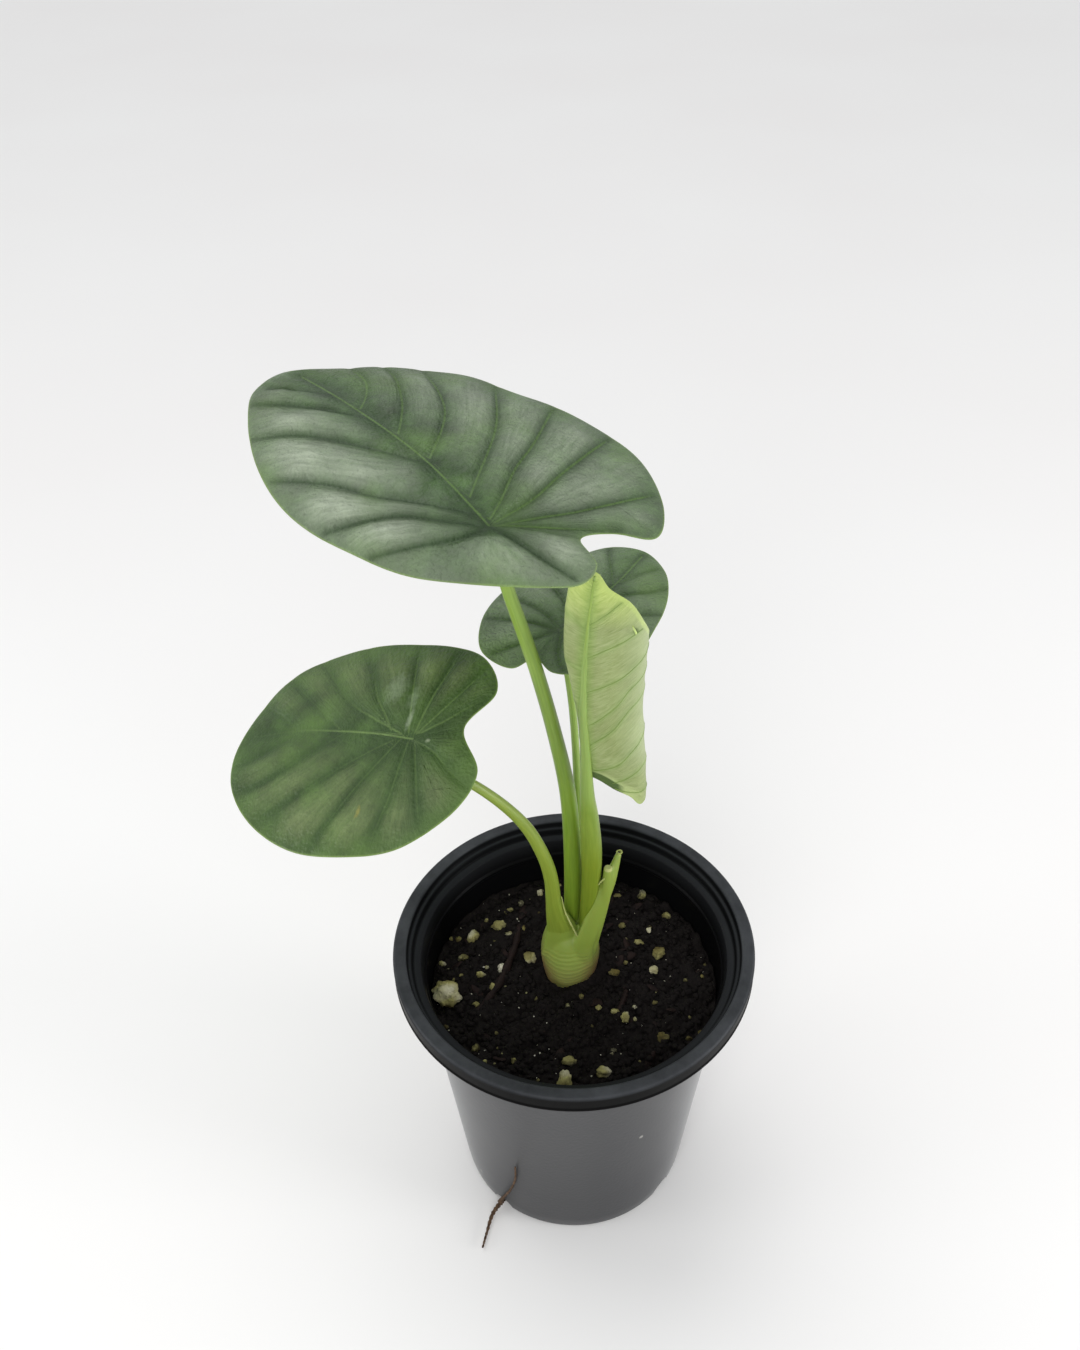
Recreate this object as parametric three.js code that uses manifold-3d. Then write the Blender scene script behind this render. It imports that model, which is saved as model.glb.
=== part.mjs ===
import * as THREE from 'three';
import { mergeVertices } from 'three/addons/utils/BufferGeometryUtils.js';
import Module from 'manifold-3d';

const wasm = await Module();
wasm.setup();

// All lengths are millimetres, +Z up, and the origin is the middle of the pot's underside.

// Nursery pot: outside sizes and wall
const potHeight = 103;
const rimOuter = 56;
const rimInner = 52;
const baseOuter = 38.3;
const wallFlare = 0.102;
const wallThick = 1;
const floorThick = 1.2;
const potSides = 56;
const skirtHeight = 6;

// Drain notches through the bottom corner; the stray root leaves by the first one
const notchAngles = [-129, -39, 51, 141];
const notchRadius = 4;
const notchInner = 31;
const notchLength = 12;

// Potting mix
const soilTop = 82;
const gap = 0.3;
const soilRings = [9, 17, 25, 33, 40];
const soilBump = 0.9;
const grainCount = 28;
const clearOfBase = 13;

// Swollen stem base: middle in plan, then radius at each height
const baseX = -1.4;
const baseY = 6.8;
const bulbProfile = [[3.5, 64], [6.8, 68], [9, 75], [10, 82], [9.9, 87], [8.6, 93], [8, 97], [6.4, 100]];
const bulbSides = 22;

// Leaf blades
const bladeThick = 0.8;
const rings = 6;
const frontSteps = 18;
const lobeSteps = 4;
const veinEvery = 4;
const midribShare = 0.94;
const ribAtJoint = 0.9;
const ribAtApex = 0.3;

const deg = Math.PI / 180;
const vec = (p) => new THREE.Vector3(p[0], p[1], p[2]);

// Seeded numbers from 0 to 1, the same on every run
function makeRandom(seed) {
  let state = seed;
  return () => {
    state = (state * 1664525 + 1013904223) % 4294967296;
    return state / 4294967296;
  };
}

// A geometry as a solid that can be joined and cut
function solid(geometry) {
  const bare = geometry.clone();
  bare.deleteAttribute('normal');
  bare.deleteAttribute('uv');
  const merged = mergeVertices(bare, 1e-4);
  const vertProperties = new Float32Array(merged.attributes.position.array);
  const triVerts = new Uint32Array(merged.index.array);
  return new wasm.Manifold(new wasm.Mesh({ numProp: 3, vertProperties, triVerts }));
}

// A solid back as a geometry
function geometryOf(body) {
  const mesh = body.getMesh();
  const geometry = new THREE.BufferGeometry();
  geometry.setAttribute('position', new THREE.BufferAttribute(new Float32Array(mesh.vertProperties), 3));
  geometry.setIndex(new THREE.BufferAttribute(new Uint32Array(mesh.triVerts), 1));
  geometry.computeVertexNormals();
  return geometry;
}

// A closed outline of [radius, height] turned about the upright axis
function turned(profile, sides) {
  const points = profile.map((p) => new THREE.Vector2(p[0], p[1]));
  points.push(points[0].clone());
  const geometry = new THREE.LatheGeometry(points, sides);
  geometry.rotateX(90 * deg);
  return geometry;
}

// Indexed triangles from rows of points, each row a closed ring, with a cap at both ends
function loft(rows) {
  const around = rows[0].length;
  const positions = rows.flat().flatMap((p) => [p.x, p.y, p.z]);
  const index = [];
  for (let i = 0; i < rows.length - 1; i++) {
    for (let j = 0; j < around; j++) {
      const a = i * around + j;
      const b = i * around + (j + 1) % around;
      index.push(a, b, b + around, a, b + around, a + around);
    }
  }
  const capEnd = (first, flip) => {
    const middle = new THREE.Vector3();
    rows[first].forEach((p) => middle.addScaledVector(p, 1 / around));
    const centre = positions.length / 3;
    positions.push(middle.x, middle.y, middle.z);
    for (let j = 0; j < around; j++) {
      const a = first * around + j;
      const b = first * around + (j + 1) % around;
      if (flip) index.push(centre, a, b);
      else index.push(centre, b, a);
    }
  };
  capEnd(0, false);
  capEnd(rows.length - 1, true);
  const geometry = new THREE.BufferGeometry();
  geometry.setAttribute('position', new THREE.Float32BufferAttribute(positions, 3));
  geometry.setIndex(index);
  return geometry;
}

// A stem through stations of [x, y, z, half width, half depth], made fatter by extra
function stem(stations, steps, sides, extra = 0) {
  const path = new THREE.CatmullRomCurve3(stations.map(vec));
  const widths = new THREE.CatmullRomCurve3(stations.map((s) => new THREE.Vector3(s[3], s[4] ?? s[3], 0)));
  const rows = [];
  for (let i = 0; i <= steps; i++) {
    const t = i / steps;
    const middle = path.getPoint(t);
    const along = path.getTangent(t);
    const across = new THREE.Vector3(0, 1, 0).cross(along).normalize();
    const depth = along.clone().cross(across);
    const size = widths.getPoint(t);
    const row = [];
    for (let j = 0; j < sides; j++) {
      const angle = j / sides * 360 * deg;
      const point = middle.clone();
      point.addScaledVector(across, Math.cos(angle) * (size.x + extra));
      point.addScaledVector(depth, Math.sin(angle) * (size.y + extra));
      row.push(point);
    }
    rows.push(row);
  }
  return solid(loft(rows));
}

// Outside radius of the pot wall at a height
const wallRadius = (z) => baseOuter + wallFlare * z;

// Pot wall, inside ledges, flat rim ring and hollow skirt in one outline
function potProfile() {
  const skirtFoot = potHeight - skirtHeight;
  const inside = (z) => wallRadius(z) - wallThick;
  return [
    [0, 0],
    [baseOuter - 1, 0],
    [baseOuter, 1],
    [wallRadius(96.4), 96.4],
    [51.2, 97.1],
    [51.4, 99],
    [rimInner + 0.8, 99.4],
    [rimInner + 1, potHeight - 1],
    [rimOuter - 1, potHeight - 1],
    [rimOuter - 1.3, skirtFoot],
    [rimOuter - 0.1, skirtFoot],
    [rimOuter, skirtFoot + 0.6],
    [rimOuter - 0.3, skirtFoot + 1.2],
    [rimOuter, potHeight - 0.8],
    [rimOuter - 0.7, potHeight],
    [rimInner + 0.5, potHeight],
    [rimInner, potHeight - 0.4],
    [rimInner - 0.3, 100.5],
    [50.4, 100.1],
    [50.2, 98.3],
    [47.7, 97.7],
    [inside(93), 93],
    [inside(92.5) - 0.5, 92.5],
    [inside(91.5) - 0.5, 91.5],
    [inside(91), 91],
    [inside(3), 3],
    [baseOuter - 2.4, floorThick],
    [0, floorThick],
  ];
}

function makePot() {
  let body = solid(turned(potProfile(), potSides));
  notchAngles.forEach((angle) => {
    const cutter = new THREE.CylinderGeometry(notchRadius, notchRadius, notchLength, 14);
    cutter.rotateZ(90 * deg);
    cutter.translate(notchInner + notchLength / 2, 0, 0);
    cutter.rotateZ(angle * deg);
    body = body.subtract(solid(cutter));
  });
  return body;
}

// Height of the uneven top of the mix
function groundHeight(x, y) {
  const wave = Math.sin(x * 0.31 + 1) * Math.cos(y * 0.27) + 0.6 * Math.sin(x * 0.7 - y * 0.83);
  return soilTop + soilBump * wave;
}

// A rough lump of perlite, part sunk in the mix
function lump(x, y, size, random) {
  const grain = new THREE.IcosahedronGeometry(size, 0);
  grain.scale(1, 0.7 + 0.3 * random(), 0.6 + 0.3 * random());
  grain.rotateZ(random() * 360 * deg);
  grain.rotateX(random() * 40 * deg);
  grain.translate(x, y, groundHeight(x, y));
  return solid(grain);
}

// Lumps seen in the photograph: x, y, size
const seenLumps = [[-41, -6, 4.2], [-2.7, -37, 3.4], [-1.5, -29, 2], [9, -35, 1.8], [27, -21, 1.9],
  [16, -14, 2], [-25, 23, 2.1], [-33, 18, 2.2], [-15, 9.5, 2], [-23, 5, 1.5], [-30, 2, 1.8], [-37, 11, 1.7]];

function makeSoil(holes) {
  const random = makeRandom(7);
  const side = (z) => wallRadius(z) - wallThick - gap;
  const top = [...soilRings].reverse().map((r) => [r, soilTop]);
  const profile = [[0, floorThick + gap], [baseOuter - 3, floorThick + gap], [side(4), 4],
    [side(soilTop), soilTop - 1], ...top, [0, soilTop]];
  const ground = turned(profile, 40);
  const position = ground.attributes.position;
  for (let i = 0; i < position.count; i++) {
    const x = position.getX(i);
    const y = position.getY(i);
    if (position.getZ(i) > soilTop - 2) {
      position.setZ(i, position.getZ(i) - soilTop + groundHeight(x, y));
    }
  }
  let body = solid(ground);
  seenLumps.forEach(([x, y, size]) => {
    body = body.add(lump(x, y, size, random));
  });
  for (let i = 0; i < grainCount; i++) {
    const r = 42 * Math.sqrt(random());
    const angle = random() * 360 * deg;
    const x = r * Math.cos(angle);
    const y = r * Math.sin(angle);
    const size = 1 + 0.9 * random();
    if (Math.hypot(x - baseX, y - baseY) > clearOfBase) {
      body = body.add(lump(x, y, size, random));
    }
  }
  const bark = [[-18, 23, soilTop, 1.2, 0.9], [-20, 11, soilTop + 0.4, 1.6, 1], [-25, -3, soilTop, 1.4, 0.9],
    [-33, -15, soilTop - 0.4, 0.8, 0.7]];
  body = body.add(stem(bark, 8, 6));
  holes.forEach((hole) => {
    body = body.subtract(hole);
  });
  return body;
}

// Roots from the underside of the stem base, hidden in the mix
const rootAngles = [20, 95, 165, 235, 310];

function rootStations(angle) {
  const out = (r, z, width) => [baseX + r * Math.cos(angle * deg), baseY + r * Math.sin(angle * deg), z, width];
  return [out(3, 74, 1.2), out(9, 63, 1.1), out(15, 47, 0.9), out(18, 30, 0.7)];
}

// Bulb and roots together, made fatter by extra to cut their holes
function bulbAndRoots(extra) {
  const grown = bulbProfile.map(([r, z], i) => [r + extra, i ? z : z - extra]);
  const profile = [[0, grown[0][1]], ...grown, [0, bulbProfile.at(-1)[1] + 1]];
  const bulb = turned(profile, bulbSides);
  bulb.translate(baseX, baseY, 0);
  let body = solid(bulb);
  rootAngles.forEach((angle) => {
    body = body.add(stem(rootStations(angle), 5, 7, extra));
  });
  return body;
}

// Old sheath remains at the right of the stem base: one short prong and one long one
const shortProng = [[4.8, 3.4, 88, 1.5], [6.1, 2.4, 97, 1.4], [8, 1.6, 109, 1.4], [9.6, 1.2, 122, 1.6],
  [10, 1.6, 133, 1.3]];
const longProng = [[6, 2.6, 96, 1.2], [8.4, 2, 108, 1.4], [11.2, 3, 119, 1.2], [12.7, 4, 128, 1],
  [13.5, 5, 137, 0.8]];

// Petioles as stations of [x, y, z, half width, half depth]
const topPetiole = [[-1.5, 7.4, 93, 2.3], [-0.6, 7, 111, 2.5], [-0.6, 7, 136, 2.5], [-1.9, 6.6, 161, 2.35],
  [-5.6, 6.2, 184.5, 2.05], [-10, 5.8, 206, 1.9], [-14.1, 5.4, 222.6, 1.8], [-16.5, 5.2, 232, 1.7],
  [-20.5, 5, 252, 1.6]];
const leftPetiole = [[-5, 2.6, 93, 3.7, 1.7], [-4.9, 2.4, 101, 4.2, 1.8], [-5.5, 2.4, 110, 3.1, 2],
  [-6.2, 2.2, 119, 2.3, 2.2], [-6.7, 1.6, 128, 2.15], [-8.2, 0.8, 137.5, 2], [-12.6, -1, 152, 1.8],
  [-17.9, -3.2, 162.8, 1.6], [-26.8, -6.8, 175.9, 1.4], [-35.5, -8.2, 183.5, 1.35], [-42, -8, 194.4, 1.3]];
const backPetiole = [[-0.4, 12.2, 93, 1.5], [0.7, 12.4, 118, 1.3], [0.9, 12.6, 139, 1.2], [0.9, 13, 159, 1.15],
  [-0.1, 15.5, 180, 1.1], [-1.4, 18.5, 192, 1.1], [-3.8, 23.6, 205.6, 1.1]];
const youngPetiole = [[3.5, 4.2, 93, 2.2], [3.9, 4, 104, 2.5], [4.5, 3.5, 115, 2.75], [5.1, 3, 127, 2.95],
  [5.1, 2, 141, 3.1], [4.3, 0.2, 157, 2.7], [3.7, -1.9, 167, 2.1], [3.4, -2.1, 175, 1.5], [3.2, -1.8, 183, 1]];

// Leaf outlines as [along the midrib, across it] from the apex round by the left side, the
// petiole's joint at 0, 0; marks are outline places where the side ends, the lobe tips and the notch
const leaves = {
  top: {
    joint: [-20.5, 5, 251],
    facing: [0.104, -0.18, 0.978],
    toward: [-0.609, 0.766, 0.206],
    outline: [[94, 3], [91, 14], [78, 23], [58, 31], [36, 34], [14, 30], [-4, 22], [-18, 8], [-27, -7],
      [-24, -14.5], [-15, -16.5], [-17, -25], [-23, -34], [-16, -43], [0, -50], [18, -50], [42, -42], [64, -32],
      [82, -14]],
    marks: [6, 8, 10, 12, 14],
    lobeRibs: [[-17, -4], [-13, -32]],
    droop: { apex: 0.0017, rear: 0.001, left: 0.006, right: 0.0015 },
    puff: 1.5,
  },
  left: {
    joint: [-42, -8, 193.7],
    facing: [-0.368, -0.208, 0.906],
    toward: [-0.896, 0.341, -0.285],
    outline: [[60, 1], [57, 13], [45, 25], [27, 33], [8, 34], [-8, 30], [-19, 20], [-22, 9], [-14, -4],
      [-20, -15], [-13, -26], [0, -31], [20, -32], [41, -28], [55, -17]],
    marks: [5, 6.6, 8, 9.4, 11],
    lobeRibs: [[-12, 15], [-11, -17]],
    droop: { apex: 0.001, rear: 0.001, left: 0.0015, right: 0.0015 },
    puff: 0.8,
  },
  back: {
    joint: [-3.8, 23.6, 205],
    facing: [0, 0, 1],
    toward: [0.6, 0.8, 0],
    outline: [[50, 6], [46, 15], [36, 20], [20, 25], [3, 25], [-10, 20], [-19, 12], [-20, 1], [-13, -1.5],
      [-15, -9], [-9, -17], [4, -22], [18, -19.5], [34, -13], [45, -4]],
    marks: [4.6, 6.6, 8, 9.4, 11],
    lobeRibs: [[-11, 9], [-8, -10]],
    droop: { apex: 0.001, rear: 0.001, left: 0.001, right: 0.001 },
    puff: 0.9,
  },
  young: {
    outline: [[68, 0], [64, 4], [60, 10], [51, 16.5], [38, 27], [20, 31], [4, 28], [-6, 21], [-11, 14.5],
      [-6.5, 11], [-4.5, 6.5], [-0.5, -0.5], [-4, -6], [-4, -11], [3, -15.5], [18, -17], [36, -20], [50, -17],
      [61, -8]],
    marks: [5.6, 8, 11, 12.7, 14],
    lobeRibs: [[-3, 14], [-3, -9]],
    puff: 0.7,
  },
};

// A flat leaf's middle surface: drooping at the apex, the lobes and both sides
function flatSurface(leaf) {
  const joint = vec(leaf.joint);
  const up = vec(leaf.facing).normalize();
  const along = vec(leaf.toward).addScaledVector(up, -vec(leaf.toward).dot(up)).normalize();
  const across = up.clone().cross(along);
  return (u, v) => {
    const lengthwise = u > 0 ? leaf.droop.apex : leaf.droop.rear;
    const sideways = v > 0 ? leaf.droop.left : leaf.droop.right;
    const height = -lengthwise * u * u - sideways * v * v;
    return joint.clone().addScaledVector(along, u).addScaledVector(across, v).addScaledVector(up, height);
  };
}

// The young leaf stands upright with its underside forward and both sides rolled to the back
const youngMidrib = new THREE.CatmullRomCurve3([[4.6, 0.6, 160], [3.8, 0, 176], [2.4, -0.4, 199],
  [3, -0.6, 220], [5.2, -0.6, 243]].map(vec));
const youngFoot = -14;
const youngReach = 83;
const rightFold = 12.9;
const rightRollRadius = 3;
const leftRollRadius = 1.3;
const leftFold = 4.5;
const faceBulge = 1.6;

function rolledSurface(u, v) {
  const middle = youngMidrib.getPoint(THREE.MathUtils.clamp((u - youngFoot) / youngReach, 0, 1));
  const radius = v > 0 ? rightRollRadius : leftRollRadius;
  const fold = v > 0 ? rightFold : leftFold * THREE.MathUtils.smoothstep(u, 20, 52);
  const reach = Math.abs(v);
  let x = reach;
  let y = 0;
  if (reach > fold + Math.PI * radius) {
    x = fold - (reach - fold - Math.PI * radius);
    y = 2 * radius;
  } else if (reach > fold) {
    x = fold + radius * Math.sin((reach - fold) / radius);
    y = radius - radius * Math.cos((reach - fold) / radius);
  }
  const side = v > 0 ? x : -x;
  const bulge = faceBulge * Math.max(0, 1 - ((side - 7) / 11) ** 2);
  return middle.add(new THREE.Vector3(side, y - bulge, 0));
}

// Points of a blade on its flat pattern: rows run from the rib skeleton out to the edge
function bladeStations(leaf) {
  const edge = new THREE.CatmullRomCurve3(leaf.outline.map((p) => new THREE.Vector3(p[0], p[1], 0)), true);
  const apex = leaf.outline[0][0];
  const [leftRib, rightRib] = leaf.lobeRibs;
  const last = leaf.outline.length;
  const [leftSide, leftTip, notch, rightTip, rightSide] = leaf.marks;
  const spans = [
    { from: 0, to: leftSide, steps: frontSteps, hub: (t) => [apex * midribShare * (1 - t), 0] },
    { from: leftSide, to: leftTip, steps: lobeSteps, hub: (t) => [leftRib[0] * t, leftRib[1] * t] },
    { from: leftTip, to: notch, steps: lobeSteps, hub: (t) => [leftRib[0] * (1 - t), leftRib[1] * (1 - t)] },
    { from: notch, to: rightTip, steps: lobeSteps, hub: (t) => [rightRib[0] * t, rightRib[1] * t] },
    {
      from: rightTip,
      to: rightSide,
      steps: lobeSteps,
      hub: (t) => [rightRib[0] * (1 - t), rightRib[1] * (1 - t)],
    },
    { from: rightSide, to: last, steps: frontSteps, hub: (t) => [apex * midribShare * t, 0] },
  ];
  const stations = [];
  spans.forEach((span) => {
    for (let i = 0; i < span.steps; i++) {
      const t = i / span.steps;
      const rim = edge.getPoint((span.from + (span.to - span.from) * t) / last);
      stations.push({ hub: span.hub(t), rim: [rim.x, rim.y] });
    }
  });
  return stations;
}

// One blade as a closed sheet between two offsets from its middle surface
function blade(leaf, surface, under, over) {
  const stations = bladeStations(leaf);
  const apex = leaf.outline[0][0];
  const point = (station, ring, index, offset) => {
    const t = ring / rings;
    const u = station.hub[0] + (station.rim[0] - station.hub[0]) * t;
    const v = station.hub[1] + (station.rim[1] - station.hub[1]) * t;
    const middle = surface(u, v);
    const step = 0.2;
    const alongU = surface(u + step, v).sub(surface(u - step, v));
    const alongV = surface(u, v + step).sub(surface(u, v - step));
    const normal = alongU.cross(alongV).normalize();
    const between = 0.5 - 0.5 * Math.cos(index / veinEvery * 360 * deg);
    const relief = leaf.puff * between * Math.sin(Math.PI * Math.min(1, t * 1.1));
    const ribHere = THREE.MathUtils.lerp(ribAtJoint, ribAtApex, Math.max(0, station.hub[0]) / apex);
    const rib = offset < 0 && ring === 0 ? ribHere : 0;
    return middle.addScaledVector(normal, relief + offset - rib);
  };
  const positions = [];
  const index = [];
  const corner = {};
  const at = (i, ring, offset) => {
    const k = i % stations.length;
    const key = `${k},${ring},${offset}`;
    if (corner[key] === undefined) {
      const p = point(stations[k], ring, k, offset);
      corner[key] = positions.length / 3;
      positions.push(p.x, p.y, p.z);
    }
    return corner[key];
  };
  for (let i = 0; i < stations.length; i++) {
    for (let ring = 0; ring < rings; ring++) {
      [[over, false], [under, true]].forEach(([offset, flip]) => {
        const a = at(i, ring, offset);
        const b = at(i, ring + 1, offset);
        const c = at(i + 1, ring + 1, offset);
        const d = at(i + 1, ring, offset);
        if (flip) index.push(a, c, b, a, d, c);
        else index.push(a, b, c, a, c, d);
      });
    }
    index.push(at(i, rings, over), at(i, rings, under), at(i + 1, rings, under));
    index.push(at(i, rings, over), at(i + 1, rings, under), at(i + 1, rings, over));
  }
  const geometry = new THREE.BufferGeometry();
  geometry.setAttribute('position', new THREE.Float32BufferAttribute(positions, 3));
  geometry.setIndex(index);
  return solid(dropFlat(mergeVertices(geometry, 1e-3)));
}

// Leaves out triangles that closed up when points on the ribs were merged
function dropFlat(geometry) {
  const old = geometry.index.array;
  const kept = [];
  for (let i = 0; i < old.length; i += 3) {
    const [a, b, c] = [old[i], old[i + 1], old[i + 2]];
    if (a !== b && b !== c && c !== a) kept.push(a, b, c);
  }
  geometry.setIndex(kept);
  return geometry;
}

// A dry root from the first drain notch: one branch up the wall, one along the ground
function strayRoot() {
  const onWall = (angle, z, width) => {
    const r = wallRadius(z) + width + gap;
    return [r * Math.cos(angle * deg), r * Math.sin(angle * deg), z, width];
  };
  const knot = onWall(-129, 3.2, 1.1);
  const inner = [[-20, -24.7, 7, 0.9], [-22.6, -28, 3.4, 1], [-25.4, -31.3, 2.4, 1.2]];
  const climbing = [knot, onWall(-126, 9, 0.7), onWall(-121, 18, 0.6), onWall(-117, 29, 0.5),
    onWall(-116, 38, 0.4)];
  const trailing = [[-24.8, -30.6, 2.4, 1.1], [-27.6, -34.4, 1.3, 0.9], [-29.3, -41, 1.1, 0.7],
    [-30.4, -46, 1, 0.5]];
  return stem(inner, 4, 8).add(stem(climbing, 9, 7)).add(stem(trailing, 7, 7));
}

const surfaces = {
  top: flatSurface(leaves.top),
  left: flatSurface(leaves.left),
  back: flatSurface(leaves.back),
  young: rolledSurface,
};
const petioles = { top: topPetiole, left: leftPetiole, back: backPetiole, young: youngPetiole };
const petioleSides = 12;
const petioleSteps = 14;
const cutAbove = 6;
const socket = (name) => stem(petioles[name], petioleSteps, petioleSides, gap);

function makeStemBase() {
  let body = bulbAndRoots(0);
  body = body.add(stem(shortProng, 8, 8)).add(stem(longProng, 8, 8));
  Object.keys(petioles).forEach((name) => {
    body = body.subtract(socket(name));
  });
  return body;
}

// The petiole ends just under the blade, cut to its underside
function makePetiole(name) {
  const cutter = blade(leaves[name], surfaces[name], -bladeThick / 2 - gap, cutAbove);
  return stem(petioles[name], petioleSteps, petioleSides).subtract(cutter);
}

// Hole in the mix where the stray root starts
const rootHole = stem([[-19.3, -23.8, 7.9, 1.3], [-22.6, -28, 3.4, 1.4], [-26, -32, 2.4, 1.6]], 4, 8);

const colours = {
  pot: ['#2b2d30', 0.55],
  soil: ['#1a1714', 1],
  stem: ['#86993f', 0.5],
  petiole: ['#84a03a', 0.45],
  blade: ['#4c6b3f', 0.42],
  young: ['#a5bd73', 0.5],
  root: ['#5b4634', 0.8],
};

const group = new THREE.Group();
group.name = 'potted_lukiwan_alocasia';

function addNode(name, body, colour) {
  const [color, roughness] = colours[colour];
  const material = new THREE.MeshStandardMaterial({ color, roughness, metalness: 0 });
  const mesh = new THREE.Mesh(geometryOf(body), material);
  mesh.name = name;
  group.add(mesh);
}

addNode('pot', makePot(), 'pot');
addNode('soil', makeSoil([bulbAndRoots(gap), rootHole]), 'soil');
addNode('stem_base', makeStemBase(), 'stem');
Object.keys(petioles).forEach((name) => {
  addNode(`${name}_petiole`, makePetiole(name), 'petiole');
  const body = blade(leaves[name], surfaces[name], -bladeThick / 2, bladeThick / 2);
  addNode(`${name}_blade`, body, name === 'young' ? 'young' : 'blade');
});
addNode('stray_root', strayRoot(), 'root');

export default group;
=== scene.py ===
from functools import partial
from math import pi, radians

import bmesh
import bpy
import numpy as np
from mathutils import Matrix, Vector, noise


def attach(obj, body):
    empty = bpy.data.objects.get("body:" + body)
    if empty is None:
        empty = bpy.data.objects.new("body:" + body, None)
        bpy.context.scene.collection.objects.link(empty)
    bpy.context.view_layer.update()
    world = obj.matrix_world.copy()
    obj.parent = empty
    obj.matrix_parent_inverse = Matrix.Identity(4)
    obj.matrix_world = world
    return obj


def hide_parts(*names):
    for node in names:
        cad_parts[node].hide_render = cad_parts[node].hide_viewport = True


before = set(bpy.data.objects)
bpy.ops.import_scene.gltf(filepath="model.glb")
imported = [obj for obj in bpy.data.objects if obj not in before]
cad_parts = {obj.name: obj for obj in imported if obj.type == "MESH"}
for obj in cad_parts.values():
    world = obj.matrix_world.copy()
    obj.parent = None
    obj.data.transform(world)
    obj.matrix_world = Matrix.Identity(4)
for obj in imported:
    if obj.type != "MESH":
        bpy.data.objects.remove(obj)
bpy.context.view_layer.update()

# Lengths in the dictionaries are millimetres; meshes are made in metres
mm = 0.001
clearance = 0.3  # between the pot and what lies on it
scene = bpy.context.scene
scene.view_settings.view_transform = "Standard"
print("frame loaded")


# ---- small helpers ----

def linear(hexColour):  # an sRGB hex colour as the linear value a socket takes
    parts = [int(hexColour[i:i + 2], 16) / 255 for i in (1, 3, 5)]
    return tuple(c / 12.92 if c <= 0.04045 else ((c + 0.055) / 1.055) ** 2.4 for c in parts) + (1.0,)


def addNode(tree, kind, settings={}):  # a node with its settings; a node or a socket as a value is linked
    node = tree.nodes.new(kind if "Node" in kind else "ShaderNode" + kind)
    for key, value in settings.items():
        if isinstance(value, bpy.types.Node):
            value = next(socket for socket in value.outputs if socket.enabled)
        elif isinstance(value, str) and value.startswith("#"):
            value = linear(value)
        if key == "stops":  # a colour ramp's places and colours
            ramp = node.color_ramp
            while len(ramp.elements) < len(value):
                ramp.elements.new(0.5)
            for element, (place, colour) in zip(ramp.elements, value):
                element.position = place
                element.color = linear(colour)
        elif key in ("from", "to"):  # both ends of a range
            for end, number in zip((" Min", " Max"), value):
                node.inputs[key.title() + end].default_value = number
        elif isinstance(value, bpy.types.NodeSocket):
            tree.links.new(value, node.inputs[key])
        elif isinstance(key, str) and hasattr(node, key):
            setattr(node, key, value)
        else:
            node.inputs[key].default_value = value
    return node


def newMaterial(name):  # an empty material, and the call that adds a node to it
    material = bpy.data.materials.new(name)
    material.use_nodes = True
    material.node_tree.nodes.clear()
    return material, partial(addNode, material.node_tree)


# Closes a material with its bump (height, strength, distance) and its Principled shader
def endMaterial(material, colour, roughness, shine, bump=None, more={}):
    settings = {"Base Color": colour, "Roughness": roughness, "Specular IOR Level": shine, **more}
    if bump:
        height, strength, distance = bump
        settings["Normal"] = addNode(material.node_tree, "Bump", {"Height": height, "Strength": strength,
                                                                  "Distance": distance})
    shader = addNode(material.node_tree, "BsdfPrincipled", settings)
    addNode(material.node_tree, "OutputMaterial", {"Surface": shader})
    return material


# Every mask is a product of parts: what is read, its range, and what that range becomes
def makeMasks(add, masks):
    made = []
    for parts in masks:
        mask = None
        for source, span, *share in parts:
            part = add("MapRange", {"Value": source, "from": span, "to": share[0] if share else (0, 1)})
            mask = part if mask is None else add("Math", {"operation": "MULTIPLY", 0: mask, 1: part})
        made.append(mask)
    return made


def paintOver(add, colour, coats):  # coats of colour, each with its mask, one after the other
    for mask, coat, *blend in coats:
        colour = add("Mix", {"data_type": "RGBA", "blend_type": blend[0] if blend else "MIX",
                             0: mask, 6: colour, 7: coat})
    return colour


def finishPiece(piece, slot, *nodes):  # rides on the plant's one body and stands for the plain nodes
    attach(piece, "root")
    if nodes:
        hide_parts(*nodes)


def withSettings(thing, **settings):  # a modifier, light or camera with its settings
    for key, value in settings.items():
        setattr(thing, key, value)
    return thing


def newObject(name, mesh):
    made = bpy.data.objects.new(name, mesh)
    scene.collection.objects.link(made)
    return made


def meshFrom(name, points, faces, materials=()):  # points in millimetres
    mesh = bpy.data.meshes.new(name)
    mesh.from_pydata((np.asarray(points, float) * mm).tolist(), [], faces)
    for material in materials:
        mesh.materials.append(material)
    mesh.polygons.foreach_set("use_smooth", [True] * len(mesh.polygons))
    mesh.update()
    return mesh


def closeBuild(name, build):  # a bmesh as a mesh
    mesh = bpy.data.meshes.new(name)
    build.to_mesh(mesh)
    build.free()
    return mesh


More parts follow.
